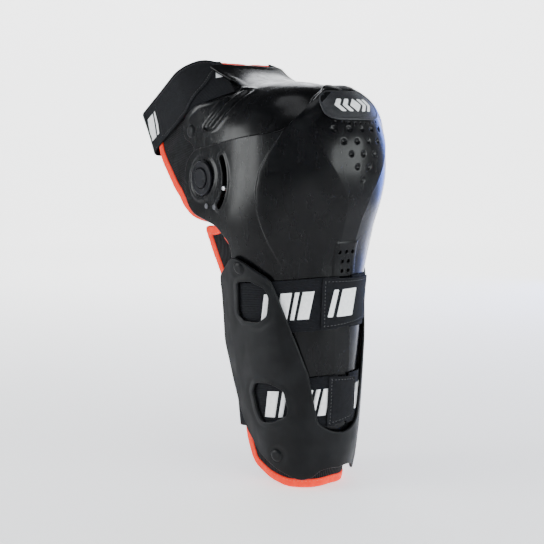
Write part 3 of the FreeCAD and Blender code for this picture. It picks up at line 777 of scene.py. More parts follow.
def binding_fabric():
    """Edge binding: plain-woven orange tape whose colour drifts a little."""
    look = Look("binding_tape", Roughness=0.8, Sheen_Weight=0.03, Sheen_Roughness=0.4,
                Sheen_Tint=(1.0, 0.75, 0.6, 1), Specular_IOR_Level=0.2)
    tape = look.chart()
    warp = look.ribs(0.9, "X", tape, 0.8)
    weft = look.ribs(0.6, "Y", tape, 0.8)
    look.colour(look.between(look.noise(7, 4), (0.93, 0.026, 0.006), (1.0, 0.046, 0.014)))
    return look.bump(warp, 0.12).bump(weft, 0.12).bump(look.noise(5, 2), 0.35).material


def webbing(name, dark, light, rib_pitch, rib_depth):
    """Elastic webbing: long ribs crossed by fine picks."""
    look = Look(name, Roughness=0.85, Sheen_Weight=0.02, Sheen_Roughness=0.4,
                Specular_IOR_Level=0.15)
    band = look.chart()
    rib = look.ribs(rib_pitch, "Y", band, 0.3)
    pick = look.ribs(0.75, "X", band, 1.2)
    tone_and_pick_shade = look.figured("MULTIPLY", look.noise(4, 4), pick)
    # a random drift in tone, and darker between the picks: painted shade in their grooves
    look.colour(look.between(tone_and_pick_shade, dark, light, 0.1, 0.55))
    return look.bump(rib, rib_depth).bump(pick, 0.10).bump(look.noise(2.2, 3), 0.12).material


def print_ink():
    """White print on elastic: the weave shows through."""
    look = Look("white_print", Roughness=0.62)
    band = look.chart()
    pick = look.ribs(0.75, "X", band, 1.2)
    look.colour(look.between(look.noise(3, 3), (0.72, 0.73, 0.74), (0.84, 0.84, 0.84)))
    return look.bump(look.ribs(1.7, "Y", band, 0.3), 0.14).bump(pick, 0.06).material


def stitched(name, colour):
    look = Look(name, Roughness=0.7, Sheen_Weight=0.2)
    look.colour(look.between(look.noise(1.1, 2), tuple(0.7 * c for c in colour), colour))
    return look.bump(look.noise(0.35, 1), 0.08).material


def hook_tape():
    look = Look("hook_patch", Roughness=0.75)
    look.colour(look.between(look.cells(0.9), (0.03, 0.03, 0.032), (0.012, 0.012, 0.013)))
    return look.bump(look.cells(0.9), 0.4).material


def badge_plastic():
    """Fine raised dots on the badge."""
    look = Look("badge_grain", Coat_Weight=0.2, Coat_Roughness=0.3)
    look.colour(look.between(look.noise(5, 3), (0.006, 0.0066, 0.0085), (0.011, 0.0118, 0.0145)))
    look.rough(look.between(look.noise(2, 3), 0.34, 0.5))
    return look.bump(look.between(look.cells(0.8), 1.0, 0.0, 0.1, 0.5), 0.10).material


liner_cloth = ribbed_fabric()
pad_cloth = mesh_fabric("pad_mesh", (0.006, 0.006, 0.008), (0.026, 0.027, 0.032))
tape = binding_fabric()
elastic = webbing("strap_elastic", (0.0022, 0.0025, 0.0036), (0.0075, 0.0083, 0.011), 1.7, 0.28)
tab_cloth = webbing("tab_webbing", (0.0026, 0.0028, 0.0036), (0.0095, 0.0102, 0.013), 0.9, 0.16)
ink = print_ink()
thread_orange = stitched("binding_thread", (0.85, 0.13, 0.06))
thread_black = stitched("black_thread", (0.007, 0.0075, 0.009))
hooks = hook_tape()
badge_grain = badge_plastic()


def finished(piece, material, slot, *nodes):
    """Gives a piece its material and hides the CAD nodes it stands for; its record slot is not
    used.
    """
    piece.data.materials.append(material)
    if nodes:
        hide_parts(*nodes)
    return piece


# ---- knee shell ---------------------------------------------------------------------------
# Where the raised ridge and the edge of the front facet run: depth, height.
RIDGE = [(105, 83), (107, 60), (98, 45), (96, 39), (87, 23), (79, 8), (75, -9), (74, -27),
         (76, -43), (79, -58), (88, -86), (88, -120)]
# Height and half width of the front facet.
FACET = [(-300, 9.0), (-215, 9.5), (-60, 9.5), (-35, 10.5), (-13, 15.5), (14, 33.0),
         (41, 47.0), (60, 50.0), (80, 50.0)]
# The features of its relief: sizes, then the heights between which each fades in.
DISH_DEPTH, DISH_DEEPER = 0.5, 1.3        # at its foot, and how much more above
DISH_FOOT, DISH_TOP, DISH_DEEPENS = (-235, -175), (56, 30), (-110, -20)
FACET_FLATTER, FACET_FOOT = 0.55, (-10, -30)
RIDGE_STEP, RIDGE_BACK = 1.5, 5.0         # how high the ridge is, and how far back it peaks
RIDGE_REAR, RIDGE_FRONT, RIDGE_FOOT = 2.6, 17, (-104, -54)     # width of its two slopes
VENT_PANEL, PANEL_STEP = 14.5, 0.7        # half width and rise of the panel round the vents
PANEL_FOOT, PANEL_TOP = (-93, -91), (-57.5, -59.5)
SEAT_DEPTH = 0.45                         # flat seat of the hinge plate, below the form
EAR_RING, EAR_RING_HEIGHT = 4.0, 0.9
DIMPLE, DIMPLE_DEPTH, DIMPLE_PITCH = 3.7, 1.5, 14.0
DIMPLE_ROWS = [(46.5, 5), (35.5, 4), (24.0, 3), (12.0, 2), (0.5, 1)]      # height, count
NICK, NICK_DEPTH, NICKS = 1.3, 0.7, 9
VENTS = [(x, -68.0) for x in (-8, 0, 8)] + [(x, z) for z in (-77.0, -86.0) for x in (-4, 4)]
VENT_HOLE = 1.9
PIN_HOLE = 4.1
BADGE = [(-33, 57, 9), (-33, 74, 11), (-22, 80.5, 14), (22, 80.5, 14), (33, 74, 11),
         (33, 57, 9), (20, 54.5, 14), (-20, 54.5, 14)]

ridge_line = shin_chart.find(*np.array(RIDGE, float).T)
ridge_line = ridge_line[np.argsort(ridge_line[:, 1])]
facet_line = shin_chart.find_front(*np.array(FACET).T[::-1])


def dimples():
    places = [((k - (count - 1) / 2) * DIMPLE_PITCH, height)
              for height, count in DIMPLE_ROWS for k in range(count)]
    return shin_chart.find_front(*np.array(places).T)


def notches():
    """Small nicks along the lower edge of the badge."""
    x = np.linspace(-25, 25, NICKS)
    return shin_chart.find_front(x, 52.0 + 0.0018 * x * x)


dimple_places = dimples()
notch_places = notches()
pivot_place = shin_chart.find(np.array([0.0]), np.array([0.0]))[0]


def stop_slot(radius):
    """Side-view outline of the slot that the stop pin runs in."""
    first, last = math.radians(STOP_FIRST), math.radians(STOP_LAST)
    run = np.linspace(first, last, 40)
    cap = np.linspace(0, math.pi, 12)[1:-1]
    return np.vstack((
        polar(STOP_RADIUS + radius, run), polar(STOP_RADIUS, last) + polar(radius, last + cap),
        polar(STOP_RADIUS - radius, run[::-1]),
        polar(STOP_RADIUS, first) + polar(radius, first + math.pi + cap)))


NEAR_SLOT = 60.0           # the slot's lip is looked for no farther than this
SLOT_LIP = 0.75
slot_loops = side_loops(shin_chart, stop_slot(STOP_SLOT), step=0.8)
near_slot = Near(*slot_loops)


def knee_relief(s, v):
    """How far the knee shell stands out from its form."""
    side = np.abs(s)
    height = np.interp(v, shin_chart.rows, shin_chart.heights)
    facet = np.interp(v, facet_line[:, 1], facet_line[:, 0])
    ridge = np.interp(v, ridge_line[:, 1], ridge_line[:, 0])
    crest = ridge - RIDGE_BACK
    # a shallow dish between the front facet and the ridge
    across = np.clip((side - facet) / np.maximum(crest - facet, 8.0), 0, 1)
    fade = ramp(height, *DISH_FOOT) * ramp(height, *DISH_TOP)
    deep = DISH_DEPTH + DISH_DEEPER * ramp(height, *DISH_DEEPENS)
    lift = -deep * fade * np.sin(math.pi * across ** 0.75)
    # the facet itself is flatter than the form
    inside = np.clip(side / facet, 0, 1)
    lift -= FACET_FLATTER * fade * (1 - inside ** 2) * ramp(height, *FACET_FOOT)
    # the ridge: a step up from behind, easing away in front
    behind = smoothstep((ridge + 1.2 - side) / RIDGE_REAR)
    ahead = 1 - smoothstep((crest - side) / RIDGE_FRONT)
    lift += RIDGE_STEP * behind * ahead * ramp(height, *RIDGE_FOOT)
    # vent panel
    panel = smoothstep((VENT_PANEL - side) / 1.8)
    lift += PANEL_STEP * (panel * ramp(height, *PANEL_FOOT) * ramp(height, *PANEL_TOP))
    # ear: a raised ring round the hinge plate, whose seat is flat
    from_pivot = np.hypot(side - pivot_place[0], v - pivot_place[1])
    lift += EAR_RING_HEIGHT * hill(from_pivot - PLATE_RADIUS - EAR_RING, EAR_RING)
    lift = np.where(from_pivot < PLATE_RADIUS + 1.5, -SEAT_DEPTH, lift)
    # dimples, and nicks under the badge
    for s0, v0 in dimple_places:
        lift -= DIMPLE_DEPTH * hill(np.hypot(s - s0, v - v0), DIMPLE)
    for s0, v0 in notch_places:
        lift -= NICK_DEPTH * hill(np.hypot(s - s0, v - v0), NICK)
    return lift


def knee_lift(s, v):
    """The relief, with a raised lip round each stop slot."""
    lift = knee_relief(s, v)
    beside = np.abs(np.abs(s) - slot_loops[0][:, 0].mean()) < NEAR_SLOT
    if np.any(beside):
        rim = np.zeros_like(lift)
        rim[beside] = SLOT_LIP * hill(near_slot(s[beside], v[beside]) - 1.6, 3.0)
        lift = lift + rim
    return lift


knee_holes = [circle(place, VENT_HOLE) for place in
              shin_chart.find_front(*np.array(VENTS).T)]
knee_holes += [circle(pivot_place * (side, 1), PIN_HOLE) for side in (1, -1)]
knee_loops = side_loops(shin_chart, rounded(KNEE_OUTLINE)) + knee_holes + slot_loops
knee_edges = [None] + [0.5] * len(VENTS) + [0.4] * 2 + [0.9] * 2
knee_shell = plate("knee_shell_skin", shin_chart, knee_loops, knee_lift, -SHELL, SHIN,
                   edge=knee_edges, spacing=1.0)
finished(knee_shell, gloss, "gloss_shell", "knee_shell")

# a dark square under the vents: painted shade seen through them
shade_sheet_path = [(-17, -94, 3), (-17, -61, 3), (17, -61, 3), (17, -94, 3)]
shade_sheet_top = -SHELL - 0.05
vent_shade_sheet = plate("vent_painted_shade", shin_chart, [front_loop(shin_chart, shade_sheet_path, -SHELL)],
              shade_sheet_top, shade_sheet_top - 0.5, SHIN, edge=0.2, spacing=2.0, back_spacing=2.0)
finished(vent_shade_sheet, hooks, "hook_patch")


# ---- badge --------------------------------------------------------------------------------
BADGE_HEIGHT, BADGE_SUNK = 1.6, 0.45      # rim, and how far the field lies below it
MARK_HEIGHT = 0.35
badge_loop = front_loop(shin_chart, BADGE)
near_badge = Near(badge_loop)


def badge_lift(s, v):
    """A flat field inside a raised rim."""
    edge = near_badge(s, v)
    return BADGE_HEIGHT - BADGE_SUNK * smoothstep((edge - 1.6) / 0.8)


badge = plate("badge_plate_skin", shin_chart, [badge_loop], badge_lift, -0.4, SHIN,
              edge=0.6, spacing=0.8, back_spacing=2.0)
finished(badge, badge_grain, "badge", "badge_plate")


def emblem_outlines():
    """Plain mark for the badge: a diamond between two slanted bars on each side."""
    middle, half, reach = 67.5, 5.5, 5
    shapes = [[(0, middle + 6, 0.6), (-6.5, middle, 0.6), (0, middle - 6, 0.6),
               (6.5, middle, 0.6)]]
    for side in (1, -1):
        for start in (9.5, 17.0):
            tips = [(start, middle), (start - reach, middle + half), (start - 0.3, middle + half),
                    (start + 4.7, middle), (start - 0.3, middle - half),
                    (start - reach, middle - half)]
            shapes.append([(side * x, height, 0.5) for x, height in tips])
    return shapes


field = BADGE_HEIGHT - BADGE_SUNK
for k, shape in enumerate(emblem_outlines()):
    mark = plate("badge_mark_%d" % (k + 1), shin_chart, [front_loop(shin_chart, shape)],
                 field + MARK_HEIGHT, field - 0.1, SHIN, edge=0.15, spacing=0.8,
                 back_spacing=2.0)
    finished(mark, ink, "badge")


# ---- shin shell ---------------------------------------------------------------------------
RIVETS = [(47.0, -84.0), (70.0, -267.0)]      # depth, height
WING_SWELL, WINDOW_LIP, WINDOW_SUNK = 0.9, 0.7, 0.9
BROW_HEIGHT, BROW_SLOPE, BROW_STEP = -168.0, 0.25, 0.8        # soft crease across the wings
shin_top = SHIN_LIFT + SHELL
window_loops = []
for window in (UPPER_WINDOW, LOWER_WINDOW):
    window_loops += side_loops(shin_chart, rounded(window), shin_top, step=1.0)
near_windows = Near(*window_loops)
shin_loops = side_loops(shin_chart, rounded(SHIN_OUTLINE), shin_top)
near_shin_edge = Near(*shin_loops)
near_rivets = Near(*mirrored(shin_chart.find(*np.array(RIVETS).T, shin_top)))


def shin_lift(s, v):
    """The wings swell a little between their edges, with a soft lip round each window."""
    edge = near_shin_edge(s, v)
    window = near_windows(s, v)
    seat = smoothstep((near_rivets(s, v) - RIVET_HEAD) / 6)
    swell = WING_SWELL * smoothstep(edge / 16) * seat
    lip = WINDOW_LIP * hill(window - 1.8, 4.5)
    sunk = -WINDOW_SUNK * smoothstep(1 - window / 11) * smoothstep((edge - 4) / 8)
    height = np.interp(v, shin_chart.rows, shin_chart.heights)
    from_brow = height - BROW_HEIGHT + BROW_SLOPE * (np.abs(s) - 60)
    brow = BROW_STEP * hill(from_brow, 16) * smoothstep(edge / 20) * seat
    return shin_top + swell + lip + sunk + brow


shin_shell = plate("shin_shell_skin", shin_chart, shin_loops + window_loops, shin_lift,
                   SHIN_LIFT, SHIN, edge=[None] + [1.2] * 4, spacing=1.5)
finished(shin_shell, satin, "satin_shell", "shin_shell")


# ---- thigh shell --------------------------------------------------------------------------
THIGH_CREASE = [(31, 39), (45, 42), (58, 46.5), (71, 51)]      # depth and height along it
CREASE_WAVES = [(1.0, 0.0, 2.4), (-1.0, 4.0, 2.8), (0.5, 8.0, 3.0)]    # height, away, width
EDGE_ROLL, FRONT_HOLLOW = 0.6, 0.35
crease = thigh_chart.find(*np.array(THIGH_CREASE, float).T)
crease_run = np.linspace(0, 1, 60)
near_crease = Near(np.stack([np.interp(crease_run, np.linspace(0, 1, len(crease)), column)
                             for column in crease.T], -1))
thigh_loops = side_loops(thigh_chart, with_arc(rounded(THIGH_OUTLINE), EAR_RADIUS, 180.0))
near_thigh_edge = Near(*thigh_loops)


def thigh_lift(s, v):
    """A narrow double crease on each flank, a slight roll at the upper edges and a faint
    hollow in the middle of the front."""
    from_crease = near_crease(np.abs(s), v)
    ridge = sum(height * hill(from_crease - away, width) for height, away, width in CREASE_WAVES)
    edge = near_thigh_edge(s, v)
    roll = EDGE_ROLL * hill(edge - 2.0, 5.0) * ramp(v, 45, 60)
    hollow = FRONT_HOLLOW * hill(np.hypot(s / 26.0, (v - 82) / 20.0), 1.0)
    return ridge + roll - hollow


thigh_shell = plate("thigh_shell_skin", thigh_chart, thigh_loops, thigh_lift, -THIGH_SHELL,
                    THIGH, spacing=1.3)
finished(thigh_shell, gloss, "gloss_shell", "thigh_shell")


# ---- liners and their bindings ------------------------------------------------------------
BINDING_SHOWN = 9.5        # how far the binding folds onto each face
BINDING_WRINKLE = 0.22
PUCKERS = [(7.0, 0.3, 0.5), (11.0, 1.9, 0.35), (4.2, 4.0, 0.35), (23.0, 2.2, 0.5)]
STITCH_PITCH = 4.2
SEAM_BACK = 1.7            # the binding's stitches, from the edge of its fold
SEAM_PINCH, SEAM_REACH, BORDER_REACH = 0.72, 9.0, 17.0     # how the sewing draws padding in
SEAM_HELD = 2.0
PRESSURE, CLOTH_MASS, FRAMES = 4.0, 0.15, 20
SWELL, PAD_SWELL = 2.2, 3.0
LOBE_SHOWN, REAR_SHOWN = 2.5, 8.0      # the thigh liner past its solid: lobe and rear edge


def inflated(piece, held, limit):
    """Fills a padded piece: its cloth swells under pressure between the places that hold it,
    by no more than the limit."""
    mesh, scene = piece.data, bpy.context.scene
    count = len(mesh.vertices)
    before = vectors_of(mesh.vertices, "co")
    group = piece.vertex_groups.new(name="held")
    group.add([int(k) for k in np.nonzero(held)[0]], 1.0, "REPLACE")
    cloth = piece.modifiers.new("filling", "CLOTH")
    cloth.settings.quality = 6
    cloth.settings.mass = CLOTH_MASS
    cloth.settings.use_pressure = True
    cloth.settings.uniform_pressure_force = PRESSURE
    cloth.settings.vertex_group_mass = "held"
    cloth.settings.effector_weights.gravity = 0.0
    cloth.collision_settings.use_collision = False
    cloth.point_cache.frame_start, cloth.point_cache.frame_end = 1, FRAMES
    for moment in range(1, FRAMES + 1):
        scene.frame_set(moment)
    filled = piece.evaluated_get(bpy.context.evaluated_depsgraph_get()).to_mesh()
    move = np.nan_to_num(vectors_of(filled.vertices, "co") - before)
    piece.to_mesh_clear()
    piece.modifiers.remove(cloth)
    piece.vertex_groups.remove(group)
    scene.frame_set(1)
    reach = np.linalg.norm(move, axis=1, keepdims=True)
    move *= np.minimum(1.0, limit * MM / np.maximum(reach, TINY))
    edges = np.array([e.vertices[:] for e in mesh.edges])
    for _ in range(3):                       # even out the odd stiff point
        blend = move.copy()
        share = np.ones((count, 1), np.float32)
        for here, there in (edges.T, edges.T[::-1]):
            np.add.at(blend, here, move[there])
            np.add.at(share, here, 1.0)
        move = np.where(held[:, None], 0, blend / share)
    mesh.vertices.foreach_set("co", (before + move).ravel())
    if mesh.has_custom_normals:
        mesh.normals_split_custom_set_from_vertices([(0, 0, 0)] * count)
    mesh.update()


def folded(reach, outer, inner):
    """Cross-section of a folded tape: (inset, lift, share of the wrinkles) points, over the
    outer face, round the edge, under the inner face and back inside the fold."""
    thick, half = 1.0, (outer - inner) / 2
    middle = (outer + inner) / 2
    out = [(reach, outer - 0.5, 0.2), (reach, outer + 0.25, 0.3), (reach - 1.2, outer + 0.55, 0.6),
           (reach * 0.6, outer + 0.75, 1.0), (reach * 0.3, outer + 0.65, 1.0)]
    turns = np.linspace(math.pi / 2, -math.pi / 2, 9)
    nose = [(1.2 - 1.2 * math.cos(a) + 0.2, middle + (half + 0.45) * math.sin(a), 0.7)
            for a in turns]
    back = [(a, outer + inner - b, c) for a, b, c in out[::-1]]
    inside = [(reach - 0.6, inner + thick, 0.0), (2.6, inner + thick, 0.0),
              (2.6, outer - thick, 0.0), (reach - 0.6, outer - thick, 0.0)]
    return out + nose + back + inside


def swept(name, chart, loop, profile, body, wrinkle, bulge=None):
    """A closed tube round a loop, its section given square to the loop."""
    count = len(loop)
    run = run_along(loop)
    phase = 2 * math.pi * run / (run[-1] + 1.2)
    pucker = sum(np.sin(round(run[-1] / pitch) * phase + shift) * share
                 for pitch, shift, share in PUCKERS)
    insets = {reach: inset(chart, loop, reach)
              for reach in {round(reach, 3) for reach, _, _ in profile}}
    tapes = run_along(np.array([row[:2] for row in profile]))
    points, charted = [], []
    for (reach, height, share), across in zip(profile, tapes):
        places = insets[round(reach, 3)]
        lift = height + wrinkle * pucker * share * (1 if height > profile[-1][1] - 3 else -1)
        lift = lift + (bulge(*places.T) if bulge else 0.0)
        points.append(chart.place(*places.T, lift))
        charted.append(np.column_stack((run, np.full(count, across), np.zeros(count))))
    faces = []
    for j in range(len(profile)):
        quads = bridge((j + 1) % len(profile) * count, j * count, count)
        faces += np.roll(quads, 1, 1).tolist()
    return shown(name, chart.out(np.vstack(points)), faces, body,
                 chart_points=np.vstack(charted))


def stitches(name, chart, loop, lift, body, material, slot, pitch=STITCH_PITCH, length=2.6):
    """A row of sewn stitches along a loop, each a small rounded bead."""
    even = resampled(loop, pitch)
    step = np.roll(even, -1, 0) - even
    step = step / np.linalg.norm(step, axis=1, keepdims=True)
    side = np.stack((-step[:, 1], step[:, 0]), -1)
    ring = [(-0.5, 0.0, 0.0), (-0.36, 0.30, 0.20), (0.36, 0.30, 0.20), (0.5, 0.0, 0.0),
            (0.36, -0.30, 0.20), (-0.36, -0.30, 0.20), (-0.30, 0.0, 0.42), (0.30, 0.0, 0.42)]
    shape = [(0, 6, 1), (0, 5, 6), (6, 7, 2, 1), (5, 4, 7, 6), (7, 3, 2), (4, 3, 7),
             (0, 1, 2, 3, 4, 5)]
    points, faces = [], []
    for a, b, c in ring:
        places = even + step * a * length + side * b
        points.append(chart.place(*places.T, lift + c))
    points = np.stack(points, 1).reshape(-1, 3)
    for k in range(len(even)):
        faces += [tuple(8 * k + n for n in face) for face in shape]
    return finished(shown(name, chart.out(points), faces, body), material, slot)


def liner(name, chart, loop, outer, thickness, channels, body, bulge=None):
    """Padded liner: pinched under its binding and along sewn channels, full between them."""
    border = Near(loop)
    seams = Near(*channels)
    def puffed(s, v):
        pinch = 1 - SEAM_PINCH * hill(seams(s, v), SEAM_REACH)
        return smoothstep(border(s, v) / BORDER_REACH) * pinch

    def shift(s, v):
        return outer + (bulge(s, v) if bulge else 0.0)

    def outside(s, v):
        return shift(s, v) - 1.1 + puffed(s, v)

    def inside(s, v):
        return shift(s, v) - thickness * (0.48 + 0.55 * puffed(s, v))

    piece = plate(name, chart, [inset(chart, loop, 3.0)], outside, inside, body, edge=1.0,
                  spacing=3.0, back_spacing=2.2)
    s, v, lift = vectors_of(piece.data.attributes["chart"].data, "vector").T
    free = (lift < outer - 0.45 * thickness) & (border(s, v) > BINDING_SHOWN + 2)
    inflated(piece, ~(free & (seams(s, v) > SEAM_HELD)), SWELL)
    return piece


def line(chart, points, count=80):
    """Chart places along a line of side-view (depth, height) points."""
    at = np.linspace(0, len(points) - 1, count)
    depth, height = (np.interp(at, np.arange(len(points)), np.array(points, float)[:, k])
                     for k in range(2))
    return chart.find(depth, height)


def padding(part, chart, loop, outer, thickness, channels, body, bulge=None):
    """A liner and the binding folded over its edge; gives the lifts of the binding's faces."""
    node = part + "_liner"
    pad = liner(node + "_pad", chart, loop, outer, thickness, channels, body, bulge)
    finished(pad, liner_cloth, "liner", node)
    section = folded(BINDING_SHOWN, outer - 0.4, outer - thickness * 0.52)
    node = part + "_binding"
    binding = swept(node + "_tape", chart, loop, section, body, BINDING_WRINKLE, bulge)
    finished(binding, tape, "binding", node)
    return section[2][1], section[-4][1]


def channel_pairs(chart, *lines):
    return [places for points in lines for places in mirrored(line(chart, points))]


shin_liner_path = with_arc(rounded(SHIN_LINER_OUTLINE), HOLLOW_RADIUS, -70.0)
shin_liner_loop = softened(side_loops(shin_chart, shin_liner_path, -4.0, 1.5)[0], 10)
shin_channels = channel_pairs(
    shin_chart, [(48, -92), (58, -150), (64, -215), (68, -275)],
    [(94, -108), (95, -180), (90, -262)], [(12, -128), (62, -146), (96, -152)],
    [(20, -212), (66, -224), (94, -228)])
shin_faces = padding("shin", shin_chart, shin_liner_loop, -SHELL - LINER_GAP, LINER,
                     shin_channels, SHIN)

thigh_liner_path = with_arc(rounded(THIGH_LINER_OUTLINE), LOBE_RADIUS + LOBE_SHOWN, -100.0)
# its rear edge reaches farther back from the lobe to the strap
rear_edge, rear_height = thigh_liner_path.T
farther = (np.clip((-15 - rear_edge) / 25, 0, 1)
           * (np.clip((rear_height + 34) / 34, 0, 1) * np.clip((104 - rear_height) / 30, 0, 1)))
thigh_liner_path[:, 0] -= REAR_SHOWN * farther
thigh_liner_loop = softened(side_loops(thigh_chart, thigh_liner_path, -5.0, 1.5)[0], 10)
thigh_channels = channel_pairs(
    thigh_chart, [(-46, 30), (-20, 34), (20, 36), (70, 34)],
    [(-50, 72), (-10, 78), (30, 76), (56, 70)], [(-6, 118), (-8, 80), (-6, 36), (-2, -20)])
lobe_heel = thigh_chart.find(np.array([-38.0]), np.array([-6.0]), -5.0)[0] + (6, 0)


def heel(s, v):
    """The lobe's rear edge stands out behind the ear of the knee shell."""
    return 3.2 * hill(np.hypot(np.abs(s) - lobe_heel[0], 0.8 * (v - lobe_heel[1])), 24.0)


thigh_faces = padding("thigh", thigh_chart, thigh_liner_loop, -THIGH_SHELL - THIGH_LINER_GAP,
                      THIGH_LINER, thigh_channels, THIGH, heel)

for part, chart, loop, (outer_face, inner_face), body in (
        ("shin", shin_chart, shin_liner_loop, shin_faces, SHIN),
        ("thigh", thigh_chart, thigh_liner_loop, thigh_faces, THIGH)):
    seam = inset(chart, loop, BINDING_SHOWN - SEAM_BACK)
    # on the inner face the beads lie the other way up
    for face, lift in (("outside", outer_face - 0.05), ("inside", inner_face - 1.9)):
        stitches("%s_binding_stitches_%s" % (part, face), chart, seam, lift, body,
                 thread_orange, "binding")


# ---- knee pad -----------------------------------------------------------------------------
PAD_SPAN = 58.0                        # degrees to each side
PAD_HALF = (68, 90)                    # half of its width and height, laid flat
PAD_SEAMS = (0.42, 0.38)               # crossing seams, as shares of those
PAD_COLUMNS, PAD_ROWS = 81, 73


def pad_form(angle, elevation, offset):
    """Form of the knee pad, turned about the hinge axis; elevation is in degrees."""
    front = spline(PAD_FORM, elevation, 1) + offset
    fullness = THIGH_FORM[1][3]
    r = ((np.abs(np.sin(angle)) / (PAD_WIDTH + offset)) ** fullness
         + (np.cos(angle) / front) ** fullness) ** (-1.0 / fullness)
    ahead, up = r * np.cos(angle), np.radians(elevation)
    return np.stack((r * np.sin(angle), -ahead * np.cos(up), ahead * np.sin(up)), -1)


def knee_pad():
    """Cushion with rounded corners, sewn through along crossing lines on its inner face."""
    low, high = PAD_FORM[0][0], PAD_FORM[-1][0]
    a, b = np.meshgrid(np.linspace(-1, 1, PAD_COLUMNS), np.linspace(-1, 1, PAD_ROWS))
    # a square pressed towards an oval gives the pad its round corners
    angle = np.radians(PAD_SPAN) * (a * np.sqrt(1 - 0.22 * b * b))
    elevation = (low + high) / 2 + (high - low) / 2 * (b * np.sqrt(1 - 0.22 * a * a))
    edge = np.minimum((1 - np.abs(a)) * PAD_HALF[0], (1 - np.abs(b)) * PAD_HALF[1])
    sewn = np.minimum(np.abs(np.abs(a) - PAD_SEAMS[0]) * PAD_HALF[0],
                      np.abs(np.abs(b) - PAD_SEAMS[1]) * PAD_HALF[1])
    crown = np.sqrt(np.clip(1 - (1 - np.clip(edge / 7, 0, 1)) ** 2, 0, 1))
    puff = 1 - 0.42 * hill(sewn, 8.0)
    faces_at = [pad_form(angle, elevation, -PAD_THICKNESS * depth).reshape(-1, 3)
                for depth in (0.5 * (1 - crown), 0.5 + crown * (0.5 * puff + 0.02))]
    count = PAD_COLUMNS * PAD_ROWS
    index = np.arange(count).reshape(PAD_ROWS, PAD_COLUMNS)
    quads = np.stack((index[:-1, :-1], index[:-1, 1:], index[1:, 1:], index[1:, :-1]), -1)
    quads = quads.reshape(-1, 4)
    rim = np.concatenate((index[0], index[1:, -1], index[-1, -2::-1], index[-2:0:-1, 0]))
    on = np.roll(rim, -1)
    faces = quads.tolist() + (quads[:, ::-1] + count).tolist()
    faces += np.stack((rim, rim + count, on + count, on), -1).tolist()
    run = np.stack((a * PAD_HALF[0], b * PAD_HALF[1], 0 * a), -1).reshape(-1, 3)
    piece = shown("knee_pad_cushion", np.vstack(faces_at), faces, SHIN,
                  chart_points=np.vstack((run, run)))
    inflated(piece, np.concatenate((np.full(count, True), (sewn < SEAM_HELD).ravel())), PAD_SWELL)
    return piece


pad = knee_pad()
finished(pad, pad_cloth, "liner", "knee_pad")


# ---- straps -------------------------------------------------------------------------------
STRAP_WAVE = 0.12          # how far the edges of the elastic wander
SLANT = -0.22              # of the printed blocks
PRINT, PRINT_SUNK = 0.16, 0.05         # thickness of the print, and how far it is let in
CALF_FRONT = 110.0         # depth of the calf straps' ends


